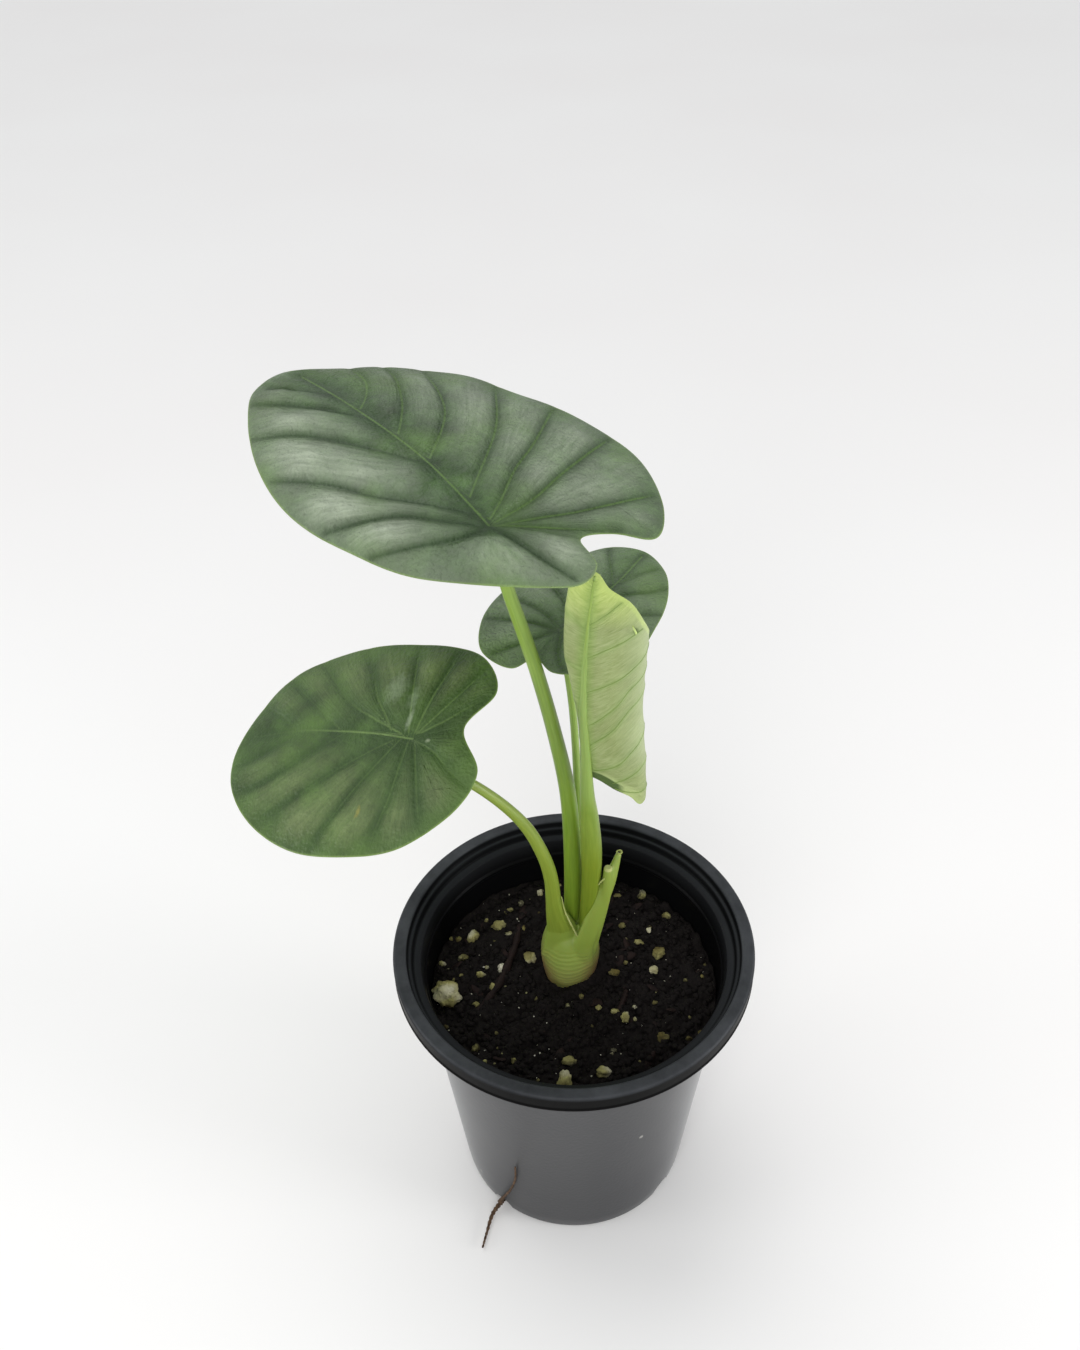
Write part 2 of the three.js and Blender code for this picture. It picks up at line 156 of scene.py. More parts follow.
def smoothPath(points, where, closed=False):  # a smooth curve through points, where runs from 0 to 1
    p = np.asarray(points, float)
    count = len(p)
    x = np.asarray(where, float) * (count if closed else count - 1)
    i = np.floor(x).astype(int)
    if closed:
        a, b, c, d = (p[(i + k) % count] for k in (-1, 0, 1, 2))
    else:
        i = np.clip(i, 0, count - 2)
        wider = np.vstack([2 * p[0] - p[1], p, 2 * p[-1] - p[-2]])
        a, b, c, d = (wider[i + k] for k in (0, 1, 2, 3))
    w = (x - i)[:, None]
    d1 = np.sqrt(np.linalg.norm(c - b, axis=1))[:, None]
    d1[d1 < 1e-4] = 1
    d0 = np.sqrt(np.linalg.norm(b - a, axis=1))[:, None]
    d2 = np.sqrt(np.linalg.norm(d - c, axis=1))[:, None]
    d0 = np.where(d0 < 1e-4, d1, d0)
    d2 = np.where(d2 < 1e-4, d1, d2)
    t1 = ((b - a) / d0 - (c - a) / (d0 + d1) + (c - b) / d1) * d1
    t2 = ((c - b) / d1 - (d - b) / (d1 + d2) + (d - c) / d2) * d1
    return b + t1 * w + (3 * c - 3 * b - 2 * t1 - t2) * w ** 2 + (2 * b - 2 * c + t1 + t2) * w ** 3


def bakeModifiers(piece):  # carries out a piece's modifiers and leaves it a plain mesh
    bpy.context.view_layer.update()
    graph = bpy.context.evaluated_depsgraph_get()
    mesh = bpy.data.meshes.new_from_object(piece.evaluated_get(graph))
    piece.modifiers.clear()
    old = piece.data
    piece.data = mesh
    bpy.data.meshes.remove(old)
    mesh.name = piece.name
    return piece


def runNodes(piece, tree, values):  # runs a node tree on a piece, with the values for its named inputs
    modifier = withSettings(piece.modifiers.new("build", "NODES"), node_group=tree)
    for item in tree.interface.items_tree:
        if item.in_out == "INPUT" and item.name in values:
            modifier[item.identifier] = values[item.name]
    return bakeModifiers(piece)


def newTree(name, inputs):  # a geometry tree with named inputs: name, type, default
    tree = bpy.data.node_groups.new(name, "GeometryNodeTree")
    for label, kind, value in [("Geometry", "Geometry", None), *inputs, ("Material", "Material", None)]:
        socket = tree.interface.new_socket(label, in_out="INPUT", socket_type="NodeSocket" + kind)
        if value is not None:
            socket.default_value = value
    tree.interface.new_socket("Geometry", in_out="OUTPUT", socket_type="NodeSocketGeometry")
    add = partial(addNode, tree)
    return tree, add, add("NodeGroupInput").outputs


def endTree(add, given, last):  # every tree ends in real faces with a material
    for kind, more in (("RealizeInstances", {}), ("SetShadeSmooth", {}),
                       ("SetMaterial", {"Material": given["Material"]})):
        last = add("GeometryNode" + kind, {"Geometry": last, **more})
    add("NodeGroupOutput", {0: last})


# A round strand along every line of a wire mesh, as thick as its points say
def strandTree():
    tree, add, given = newTree("strands", [("Sides", "Int", 8)])
    thick = add("GeometryNodeInputNamedAttribute", {"data_type": "FLOAT", "Name": "thick"})
    lines = add("GeometryNodeMeshToCurve", {"Mesh": given["Geometry"]})
    ring = add("GeometryNodeCurvePrimitiveCircle", {"Radius": 1.0, "Resolution": given["Sides"]})
    tube = add("GeometryNodeCurveToMesh", {"Curve": lines, "Profile Curve": ring, "Scale": thick,
                                           "Fill Caps": True})
    endTree(add, given, tube)
    return tree


# Rough grains scattered on a surface, part sunk in it
def grainTree():
    tree, add, given = newTree("grains", [
        ("Density", "Float", 1000.0), ("Smallest", "Float", 0.001), ("Largest", "Float", 0.002),
        ("Length", "Float", 1.0), ("Flatness", "Float", 1.0), ("Roughness", "Float", 0.5),
        ("Fineness", "Int", 2), ("Seed", "Int", 1)])
    spots = add("GeometryNodeDistributePointsOnFaces", {"Mesh": given["Geometry"], "Density": given["Density"],
                                                        "Seed": given["Seed"]})
    ball = add("GeometryNodeMeshIcoSphere", {"Radius": 1.0, "Subdivisions": given["Fineness"]})
    bumps = add("TexNoise", {"Scale": 1.3, "Detail": 1.0})
    centred = add("Math", {"operation": "SUBTRACT", 0: bumps, 1: 0.5})
    deep = add("Math", {"operation": "MULTIPLY", 0: centred, 1: given["Roughness"]})
    shove = add("VectorMath", {"operation": "SCALE", 0: add("GeometryNodeInputNormal"), "Scale": deep})
    stone = add("GeometryNodeSetPosition", {"Geometry": ball, "Offset": shove})
    form = add("CombineXYZ", {"X": given["Length"], "Y": 1.0, "Z": given["Flatness"]})
    shaped = add("GeometryNodeTransform", {"Geometry": stone, "Scale": form})
    size = add("FunctionNodeRandomValue", {"data_type": "FLOAT", 2: given["Smallest"], 3: given["Largest"],
                                           "Seed": given["Seed"]})
    turn = add("FunctionNodeRandomValue", {"data_type": "FLOAT_VECTOR", 0: (-0.6, -0.6, 0), 1: (0.6, 0.6, 6.28),
                                           "Seed": given["Seed"]})
    placed = add("GeometryNodeInstanceOnPoints", {"Points": spots, "Instance": shaped, "Rotation": turn,
                                                  "Scale": size})
    endTree(add, given, placed)
    return tree


strands = strandTree()
grains = grainTree()


def makeStrands(name, paths, material, sides=8):  # paths of [x, y, z, radius] as one piece
    rows = np.vstack(paths) * mm
    ends = np.cumsum([len(path) for path in paths])
    edges = [(i, i + 1) for i in range(len(rows) - 1) if i + 1 not in ends]
    mesh = bpy.data.meshes.new(name)
    mesh.from_pydata(rows[:, :3].tolist(), edges, [])
    mesh.attributes.new("thick", "FLOAT", "POINT").data.foreach_set("value", rows[:, 3].tolist())
    return runNodes(newObject(name, mesh), strands, {"Sides": sides, "Material": material})


def beaded(path, count, by, step, base=1.0):  # a smooth path whose radius swells and shrinks along it
    path = smoothPath(path, np.linspace(0, 1, count))
    path[:, 3] *= base + by * np.sin(np.arange(count) * step)
    return path


# Rows round a stalk of [x, y, z, half width, half depth], and its middle line
def tubePoints(stations, steps, sides):
    where = np.linspace(0, 1, steps + 1)
    path = smoothPath([s[:3] for s in stations], where)
    widths = smoothPath([[s[3], s[-1], 0] for s in stations], where)
    along = np.gradient(path, axis=0)
    along /= np.linalg.norm(along, axis=1)[:, None]
    across = np.cross([0, 1, 0], along)
    across /= np.linalg.norm(across, axis=1)[:, None]
    angle = np.arange(sides) / sides * 2 * pi
    rows = (path[:, None] + across[:, None] * (np.cos(angle)[None, :, None] * widths[:, None, :1])
            + np.cross(along, across)[:, None] * (np.sin(angle)[None, :, None] * widths[:, None, 1:2]))
    return rows, path


def tubeMesh(name, rows, path, materials=()):  # a closed skin over the rows with its own map round and along
    steps, sides = rows.shape[:2]
    points = np.vstack([rows.reshape(-1, 3), rows[0].mean(0), rows[-1].mean(0)])
    length = np.concatenate([[0], np.cumsum(np.linalg.norm(np.diff(path, axis=0), axis=1))]) / 10
    faces, corners = [], []
    for i in range(steps - 1):
        a, b = i * sides, (i + 1) * sides
        for j in range(sides):
            k = (j + 1) % sides
            faces.append([a + j, a + k, b + k, b + j])
            corners += [(s / sides, length[t]) for s, t in ((j, i), (j + 1, i), (j + 1, i + 1), (j, i + 1))]
    end = (steps - 1) * sides
    for j in range(sides):
        k = (j + 1) % sides
        faces += [[steps * sides, k, j], [steps * sides + 1, end + j, end + k]]
        corners += [(j / sides, 0)] * 3 + [(j / sides, length[-1])] * 3
    mesh = meshFrom(name, points, faces, materials)
    mesh.uv_layers.new(name="grain").data.foreach_set("uv", np.asarray(corners).ravel())
    return mesh


# ---- finishes ----

leftFrom = 40  # the veins on the left of a midrib are counted from here


def readLeaf(add, *labels):  # a blade's two maps, and what its points know of the veins and the margin
    maps = [add("UVMap", {"uv_map": label}) for label in ("flat", "veins")]
    return maps + [add("Attribute", {"attribute_name": label}).outputs["Fac"] for label in labels]


# Upper side of an open leaf: waxy green, with painted shade in the vein grooves and a painted grey-green sheen
# on the raised parts
def leafUpperSkin(name, look):
    material, add = newMaterial(name)
    flat, veins, lift, groove, across, margin = readLeaf(add, "lift", "groove", "across", "margin")
    vein = add("SeparateXYZ", {0: veins}).outputs  # X counts the veins, Y is the distance from the midrib
    isLeft = add("Math", {"operation": "GREATER_THAN", 0: vein["X"], 1: leftFrom - 10.0})
    fromJoint = add("VectorMath", {"operation": "LENGTH", 0: flat})
    along = add("Mapping", {"Vector": veins, "Scale": (7.0, 1.1, 1.0)})
    blotch, silk, fresh, ragged, wrinkles = (
        add("TexNoise", {"Vector": place, "Scale": scale, "Detail": detail, "Roughness": rough,
                         "Distortion": twist})
        for place, scale, detail, rough, twist in (
            (flat, 0.9, 4, 0.6, 0), (along, 1.5, 5, 0.6, 0), (flat, 0.42, 2, 0.5, 0), (flat, 7, 3, 0.5, 0),
            (flat, 6, 4, 0.5, 0.6)))
    # the raised parts get a painted grey-green sheen, stronger on the left half
    raised = add("Math", {"operation": "MULTIPLY", 0: lift, 1: silk})
    nearEdge = add("MapRange", {"Value": margin, "from": (1, 9), "to": (look["freshAtEdge"], 0)})
    freshness = add("Math", {"operation": "ADD", 0: fresh, 1: nearEdge})
    away = add("Math", {"operation": "ABSOLUTE", 0: across})
    # painted shade darkens the vein grooves
    paintedSheen, grooveShade, mottled, line, middle, rim = makeMasks(add, [
        [(raised, (0.1, 0.62), (look["sheenPaintBase"], 1)), (vein["Y"], (0.25, 2.1), (0.1, 1)),
         (isLeft, (0, 1), look["sheenPaintAmount"][::-1])],
        [(groove, (0, 1), (0, look["grooveShadeAmount"]))],
        [(freshness, (0.52, 0.95), (0, 0.7))],
        [(away, (0.45, 0.1)), (groove, (0.25, 0.6)), (isLeft, (0, 1), look["lines"][::-1]),
         (fromJoint, look["lineFade"], (1, 0.15)), (margin, (1, 6))],
        [(vein["Y"], (0.042, 0.012), (0, look["midribLine"])), (fromJoint, look["midribFade"], (1, 0.1))],
        [(margin, (0.05, 0.45), (0.5, 0))]])
    # on the top leaf the left half's lines are a dark painted shade in the creases; on the other leaves both
    # halves have pale vein lines
    lines = add("Math", {"operation": "MAXIMUM", 0: line, 1: middle})
    onLeft = add("Math", {"operation": "GREATER_THAN", 0: line, 1: middle})
    onLeft = add("Math", {"operation": "MULTIPLY", 0: onLeft, 1: isLeft})
    lineTone = add("Mix", {"data_type": "RGBA", 0: onLeft, 6: look["line"], 7: look["leftLineAndCreaseShade"]})
    colour = paintOver(add, add("ValToRGB", {"Fac": blotch, "stops": look["tones"]}), [
        (paintedSheen, look["sheenPaint"]), (grooveShade, look["groove"]), (mottled, look["fresh"]), (lines, lineTone),
        (rim, look["rim"])])
    for u, v, halfU, halfV, tone, amount in look["patches"]:  # single marks painted on this leaf, in centimetres on it: pale grey-green painted sheen and one yellow-brown spot
        at = add("Mapping", {"Vector": flat, "Location": (-u / halfU, -v / halfV, 0),
                             "Scale": (1 / halfU, 1 / halfV, 1.0)})
        off = add("VectorMath", {"operation": "LENGTH", 0: at})
        rough = add("Math", {"operation": "MULTIPLY_ADD", 0: ragged, 1: 1.1, 2: off})
        mark = add("MapRange", {"Value": rough, "from": (1.55, 0.9), "to": (0, amount)})
        colour = paintOver(add, colour, [(mark, tone)])
    cells = add("TexVoronoi", {"Vector": flat, "feature": "SMOOTH_F1", "Scale": 11.0, "Randomness": 0.9})
    net = add("Math", {"operation": "MULTIPLY_ADD", 0: cells, 1: -0.5, 2: wrinkles})
    relief = add("Math", {"operation": "ADD", 0: silk, 1: net})
    gloss = add("MapRange", {"Value": wrinkles, "to": look["gloss"]})
    return endMaterial(material, colour, gloss, shine=0.38, bump=(relief, look["bump"], 0.0011),
                       more={"Coat Weight": look["coat"], "Coat Roughness": 0.28})


# Underside of a leaf: paler and more matt, with thin lines beside the veins and a bright margin and apex; on the
# young leaf the lines are partly painted shade and the apex partly painted light
def leafUnderSkin(name, look):
    material, add = newMaterial(name)
    flat, veins, margin, groove = readLeaf(add, "margin", "groove")
    place = add("SeparateXYZ", {0: flat}).outputs
    u, v = place["X"], place["Y"]
    fromMidrib = add("SeparateXYZ", {0: veins}).outputs["Y"]
    blotch = add("TexNoise", {"Vector": flat, "Scale": 1.1, "Detail": 4.0})
    fine = add("Mapping", {"Vector": veins, "Scale": (9.0, 1.3, 1.0)})
    hatch = add("TexNoise", {"Vector": fine, "Scale": 2.2, "Detail": 4.0, "Roughness": 0.65})
    hatchTone = add("ValToRGB", {"Fac": hatch, "stops": [(0.35, look["hatch"]), (0.65, "#ffffff")]})
    middle, tip, line, rim = makeMasks(add, [
        [(fromMidrib, (0.3, 0.08), (0, 0.8))],
        # the apex tone: on the young leaf partly its yellow-green and partly painted light where the big leaf
        # shades it
        [(u, look["tipSpan"], (0, look["tipAmount"]))],
        # the line tone along the veins: pale vein colour on open leaves, on the young leaf partly painted soft
        # shade beside them
        [(groove, (0, 1), (0, look["lineAmount"]))],
        [(margin, (look["rimWidth"] / 2, look["rimWidth"]), (0.85, 0)), (u, (0.5, 4), (0.25, 1))]])
    colour = paintOver(add, add("ValToRGB", {"Fac": blotch, "stops": look["tones"]}), [
        (middle, look["midrib"]), (tip, look["tip"]), (line, look["line"]), (1.0, hatchTone, "MULTIPLY"),
        (rim, look["rim"])])
    inner = look["inner"]
    if inner:  # the turn to the back paler with painted sheen, a painted highlight on the fold low down, painted shade on the inner side below it, and the dark slit of a small tear
        spot = add("VectorMath", {"operation": "DISTANCE", 0: flat, 1: inner["tear"]})
        turned, foldHighlight, foldShade, slit = makeMasks(add, [
            # painted sheen on the part that turns to the back
            [(v, (0.8, 1.8), (0, 0.45)), (u, (0.2, 1.2))],
            # painted highlight on the fold low down
            [(u, (0.8, 0.6)), (margin, (4.4, 3.2), (0, 0.6)), (v, (1.7, 1.2))],
            # painted shade on the inner side under the rolled margin; the tear's slit takes the same dark tone
            [(u, (0.8, 0.6)), (margin, (3.1, 2.6)), (v, (1, 0.8), (0, inner["amount"]))],
            [(spot, (0.1, 0.03), (0, 0.6))]])
        foldShadeAndSlit = add("Math", {"operation": "MAXIMUM", 0: foldShade, 1: slit})
        colour = paintOver(add, colour, [(turned, inner["turned"]), (foldHighlight, inner["foldHighlight"]),
                                         (foldShadeAndSlit, inner["foldShade"])])
    return endMaterial(material, colour, roughness=0.48, shine=0.4, bump=(hatch, 0.5, 0.0006))


# Plain skins: two tones in a cloud, with or without a rough surface
def cloudSkin(name, tones, scale, roughness, shine, detail=2.0, grit=0.5, spread=0.2, bump=0.0):
    material, add = newMaterial(name)
    place = add("TexCoord").outputs["Object"]
    cloud = add("TexNoise", {"Vector": place, "Scale": scale, "Detail": detail, "Roughness": grit})
    tone = add("ValToRGB", {"Fac": cloud, "stops": [(0.5 - spread, tones[0]), (0.5 + spread, tones[1])]})
    return endMaterial(material, tone, roughness, shine, (cloud, bump, 0.0006) if bump else None)


def veinSkin(name, deep, pale):  # raised veins and torn edges: yellow-green with a little change along them
    return cloudSkin(name, (deep, pale), scale=140.0, roughness=0.6, shine=0.25)


def mixSkin(name, tones, scale, roughness=0.85):  # moist peat, bark and roots: matt, lighter where they are dry
    return cloudSkin(name, tones, scale, roughness, shine=0.15, detail=5.0, grit=0.65, spread=0.18, bump=0.7)


def unevenHeight(add, height, cloud, sway):  # a height in metres that a cloud moves up and down
    shift = add("Math", {"operation": "MULTIPLY_ADD", 0: cloud, 1: sway, 2: -sway / 2})
    return add("Math", {"operation": "ADD", 0: height, 1: shift})


sapGlow = {"Subsurface Weight": 0.08, "Subsurface Scale": 0.002}  # light in the skin of stalks and bulb


# Living stalk: fine streaks along it, paler near the leaf
def stalkSkin(name, look):
    material, add = newMaterial(name)
    height = add("SeparateXYZ", {0: add("TexCoord").outputs["Object"]}).outputs["Z"]
    climb = add("MapRange", {"Value": height, "from": (look["low"] * mm, look["high"] * mm)})
    long = add("Mapping", {"Vector": add("UVMap", {"uv_map": "grain"}), "Scale": (26.0, 0.7, 1.0)})
    streak = add("TexNoise", {"Vector": long, "Scale": 1.0, "Detail": 4.0, "Roughness": 0.6})
    tone = add("ValToRGB", {"Fac": climb, "stops": look["tones"]})
    streakTone = add("ValToRGB", {"Fac": streak, "stops": [(0.3, look["streak"]), (0.7, "#ffffff")]})
    colour = paintOver(add, tone, [(1.0, streakTone, "MULTIPLY")])
    return endMaterial(material, colour, roughness=0.42, shine=0.5, bump=(streak, 0.25, 0.0004), more=sapGlow)


# ---- leaves ----

# One dictionary for each leaf. u runs along the midrib from the stalk's joint, v to its left;
# marks are the outline places where the sides end, the lobe tips and the notch. Veins run from the rear on.
leaves = {
    "top": {
        "joint": [-20.5, 5, 251], "facing": [0.104, -0.18, 0.978], "toward": [-0.609, 0.766, 0.206],
        "outline": [
            [94, 3], [91, 14], [78, 23], [58, 31], [36, 34], [14, 30], [-4, 22], [-18, 8], [-27, -7],
            [-24, -14.5], [-15, -16.5], [-17, -25], [-23, -34], [-16, -43], [0, -50], [18, -50], [42, -42],
            [64, -32], [82, -14]],
        "marks": [6, 8, 10, 12, 14], "lobeRibs": [[-17, -4], [-13, -32]],
        "droop": [0.0017, 0.001, 0.006, 0.0015], "puff": [2.2, 1.5], "pucker": 0.09, "lean": 0.85, "wave": 0.22,
        "grooveWidth": 1.1, "midrib": [[0, 0], [30, -1.2], [60, 0], [88, 1]],
        "leftVeins": [
            [[-1, 0], [-9, -2.5], [-17, -4.5], [-25, -7]], [[-1, 1], [0, 8.5], [4, 17], [9, 27]],
            [[0, 1], [8, 9], [15, 15.5], [24, 31]], [[5, 0.5], [12, 6.5], [26, 17], [36, 21.5], [50, 31]],
            [[30, 1], [42, 7.5], [60, 17.5], [70, 26]], [[55, 0.5], [67, 7.5], [75, 12], [84, 18]],
            [[72, 0.5], [80, 6], [88, 11]]],
        "rightVeins": [
            [[-2, -3], [-8, -12], [-13, -20], [-17, -27]],
            [[-1, -1], [-4, -12], [-7, -22.5], [-9, -35], [-10, -44]],
            [[0, -1], [2, -14.5], [7, -28], [10, -37], [14, -49]],
            [[1, -0.5], [6, -8], [14, -18], [20, -28], [32, -44]],
            [[10, -1], [17, -9], [24, -17], [33, -26], [50, -38]],
            [[28, -1], [38, -12], [46, -18.5], [56, -23], [70, -27]],
            [[42, -1], [48, -6], [56, -11.5], [70, -18], [78, -19]], [[60, -1], [64, -5], [72, -10], [84, -12]]],
    },
    "left": {
        "joint": [-42, -8, 193.7], "facing": [-0.368, -0.208, 0.906], "toward": [-0.896, 0.341, -0.285],
        "outline": [
            [60, 1], [57, 13], [45, 25], [27, 33], [8, 34], [-8, 30], [-19, 20], [-22, 9], [-14, -4],
            [-20, -15], [-13, -26], [0, -31], [20, -32], [41, -28], [55, -17]],
        "marks": [5, 6.6, 8, 9.4, 11], "lobeRibs": [[-12, 15], [-11, -17]],
        "droop": [0.001, 0.001, 0.0015, 0.0015], "puff": [0.75, 0.85], "pucker": 0.07, "lean": 1.0, "wave": 0.3,
        "grooveWidth": 1.6, "midrib": [[0, 0], [11, -1.5], [25, -2.5], [39, -3], [56, -1.5]],
        "leftVeins": [
            [[-1, 0.5], [-8, 4], [-14, 9], [-20, 13]], [[-1, 1], [-5, 11], [-9, 21], [-12, 26]],
            [[1, 1], [1, 8], [1, 18], [3, 33]], [[4, 0.5], [9, 9], [15, 20], [20, 32]],
            [[6, 0.5], [12, 4], [18, 8], [28, 15.5], [42, 26]], [[24, -1], [34, 6], [44, 13], [53, 17]],
            [[40, -1.5], [48, 4], [57, 8]]],
        "rightVeins": [
            [[-2, -2], [-8, -6], [-13, -10], [-18, -13]], [[-1, -2], [-5, -8], [-11, -17], [-15, -23]],
            [[0, -2], [-1, -12], [-3, -22], [-4, -29]], [[2, -2], [5, -12.5], [8, -23.5], [10, -31]],
            [[8, -3], [12, -8], [16, -12.5], [22, -22.5], [28, -31]],
            [[4, -1.5], [16, -7], [24, -11], [31, -16.5], [42, -27]],
            [[24, -2.5], [34, -9], [44, -16], [51, -21]], [[40, -3], [48, -8], [57, -12]]],
    },
    "back": {
        "joint": [-3.8, 23.6, 205], "facing": [0, 0, 1], "toward": [0.6, 0.8, 0],
        "outline": [
            [50, 6], [46, 15], [36, 20], [20, 25], [3, 25], [-10, 20], [-19, 12], [-20, 1], [-13, -1.5],
            [-15, -9], [-9, -17], [4, -22], [18, -19.5], [34, -13], [45, -4]],
        "marks": [4.6, 6.6, 8, 9.4, 11], "lobeRibs": [[-11, 9], [-8, -10]],
        "droop": [0.001, 0.001, 0.001, 0.001], "puff": [1.4, 1.4], "pucker": 0.08, "lean": 1.0, "wave": 0.3,
        "grooveWidth": 1.1, "midrib": [[0, 0], [16, 0.8], [32, 2], [47, 5]],
        "leftVeins": [
            [[-1, 1], [-8, 4], [-14, 7], [-18, 9]], [[0, 1], [-2, 9], [-5, 16], [-7, 20]],
            [[1, 1], [4, 9], [5, 17], [5, 24]], [[7, 1], [12, 8], [16, 15], [20, 24]],
            [[16, 1], [22, 7], [29, 14], [34, 20]], [[28, 2], [34, 7], [40, 12], [44, 15]]],
        "rightVeins": [
            [[-1, -1], [-6, -4], [-11, -8], [-13, -11]], [[0, -1], [-1, -9], [-3, -15], [-4, -19]],
            [[1, -1], [4, -8], [7, -15], [9, -21]], [[8, 0], [14, -6], [20, -13], [24, -17]],
            [[18, 0], [25, -4], [32, -9], [36, -11]], [[30, 1], [37, -1], [43, -3]]],
    },
    "young": {
        "outline": [
            [68, 0], [64, 4], [60, 10], [51, 16.5], [38, 27], [20, 31], [4, 28], [-6, 21], [-11, 14.5],
            [-6, 11.3], [-2, 7.2], [3.8, 1.2], [4.8, -6], [2, -11], [4, -15.5], [18, -17], [36, -20], [50, -17],
            [61, -8]],
        "marks": [5.6, 8, 11, 12.7, 14], "lobeRibs": [[-3, 14], [7, -9]], "puff": [0.36, 0.36], "pucker": 0.1,
        "lean": 1.0, "wave": 0.12, "grooveWidth": 0.8, "start": [6, 0], "midrib": [[6, 0], [30, 0], [66, 0]],
        "leftVeins": [
            [[-1, 7], [-3, 10], [-4, 14], [-4, 20]], [[1.5, 6.5], [3, 9.5], [5.2, 12.2], [8, 15], [12, 25]],
            [[7, 1], [8, 5], [9.5, 8.5], [14, 12.5], [19, 17], [24, 26]],
            [[14, 0.3], [16, 1.5], [18, 4], [21.2, 8], [28, 12.8], [33, 18], [37, 25]],
            [[21.5, 0.3], [24, 4], [29, 9.2], [34.2, 12.2], [40, 18], [43, 22]],
            [[32.5, 0.3], [35, 5], [38.2, 10], [43, 14.2], [48, 18.5]],
            [[44, 0.3], [47, 5], [50, 10], [54, 15]], [[54, 0.3], [57, 4], [61, 8]]],
        "rightVeins": [
            [[8, -1], [7, -6], [6, -12]], [[10, -0.5], [12, -8], [14, -16]], [[16, -0.3], [20, -8], [25, -17]],
            [[28, -0.3], [32, -8], [37, -19]], [[40, -0.3], [44, -8], [49, -16]],
            [[53, -0.3], [57, -6], [60, -9]]],
    },
}


def leafFrame(leaf):  # an open leaf's directions: along the midrib, to its left, and up
    up = np.array(leaf["facing"]) / np.linalg.norm(leaf["facing"])
    along = np.array(leaf["toward"]) - up * np.dot(up, leaf["toward"])
    along /= np.linalg.norm(along)
    return along, np.cross(up, along), up


def droopOf(leaf, u, v):  # an open leaf's middle surface droops at the apex, the lobes and both sides
    apex, rear, left, right = leaf["droop"]
    return -np.where(u > 0, apex, rear) * u * u - np.where(v > 0, left, right) * v * v


def openSurface(leaf):
    along, across, up = leafFrame(leaf)
    return lambda u, v: (np.array(leaf["joint"]) + u[:, None] * along + v[:, None] * across
                         + droopOf(leaf, u, v)[:, None] * up)


rolled = {
    "midrib": [[4.6, 0.6, 160], [3.8, 0, 176], [2.4, -0.4, 199], [3, -0.6, 220], [5.2, -0.6, 243]], "foot": -14,
    "reach": 83, "rightFold": 12.9, "rightRoll": 3, "leftFold": 4.5, "leftRoll": 1.3, "bulge": 1.6,
}


def rolledSurface(u, v):  # the young leaf stands upright with its underside forward and its sides rolled back
    middle = smoothPath(rolled["midrib"], np.clip((u - rolled["foot"]) / rolled["reach"], 0, 1))
    opened = np.clip((u - 20) / 32, 0, 1)
    fold = np.where(v > 0, rolled["rightFold"], rolled["leftFold"] * opened * opened * (3 - 2 * opened))
    radius = np.where(v > 0, rolled["rightRoll"], rolled["leftRoll"])
    past = np.clip(np.abs(v) - fold, 0, None)
    turn = np.clip(past / radius, 0, pi)
    x = np.minimum(np.abs(v), fold) + radius * np.sin(turn) - np.clip(past - pi * radius, 0, None)
    y = radius - radius * np.cos(turn)
    side = np.where(v > 0, x, -x)
    bulge = rolled["bulge"] * np.clip(1 - ((side - 7) / 11) ** 2, 0, None)
    return middle + np.stack([side, y - bulge, 0 * side], axis=1)


def offsetFrom(uv, line):  # from every point to the nearest place on a line of points, negative on its right
    nearest = np.full(len(uv), 1e9)
    for a, b in zip(line[:-1], line[1:]):
        step = b - a
        share = np.clip(((uv - a) @ step) / max(step @ step, 1e-9), 0, 1)
        gap = uv - a - share[:, None] * step
        far = np.linalg.norm(gap, axis=1) * np.where(step[0] * gap[:, 1] < step[1] * gap[:, 0], -1, 1)
        nearest = np.where(np.abs(far) < np.abs(nearest), far, nearest)
    return nearest


bladeLook = {
    "rings": 44, "crowding": 1.3, "frontSteps": 170, "lobeSteps": 38, "thick": 0.6, "marginThick": 0.26,
    "thinFrom": 3, "cell": 0.5, "evenings": 500, "onVein": 0.27, "slopeEvenings": 12, "leastSlope": 0.02,
    "flatMargin": 9, "flatMidrib": 4.2, "midribGroove": 1.6, "grooveDepth": 0.06, "waveReach": 8,
    "veinEnd": 0.94, "veinClear": 0.9,
}


def prepareLeaf(leaf):
    outline = np.array(leaf["outline"], float)
    apex = outline[0, 0]
    leaf["rim"] = smoothPath(outline, np.linspace(0, 1, 241), True)
    leaf["line"] = smoothPath(leaf["midrib"], np.linspace(0, 1, 30))
    notch = smoothPath(outline, np.array([leaf["marks"][2] / len(outline)]), True)[0]
    for side in ("leftVeins", "rightVeins"):
        paths = [smoothPath(path, np.linspace(0, 1, 14)) for path in leaf[side]]
        leaf[side + "All"] = [np.array([[0, 0], notch]), *paths, np.array([[apex * 0.97, 0], [apex, 0]])]
        leaf[side + "Field"] = solveFlow(leaf, side)
    leaf["surface"] = openSurface(leaf) if "facing" in leaf else rolledSurface


def around(grid):  # the mean of each cell's four neighbours
    wide = np.pad(grid, 1, mode="edge")
    return (wide[:-2, 1:-1] + wide[2:, 1:-1] + wide[1:-1, :-2] + wide[1:-1, 2:]) / 4


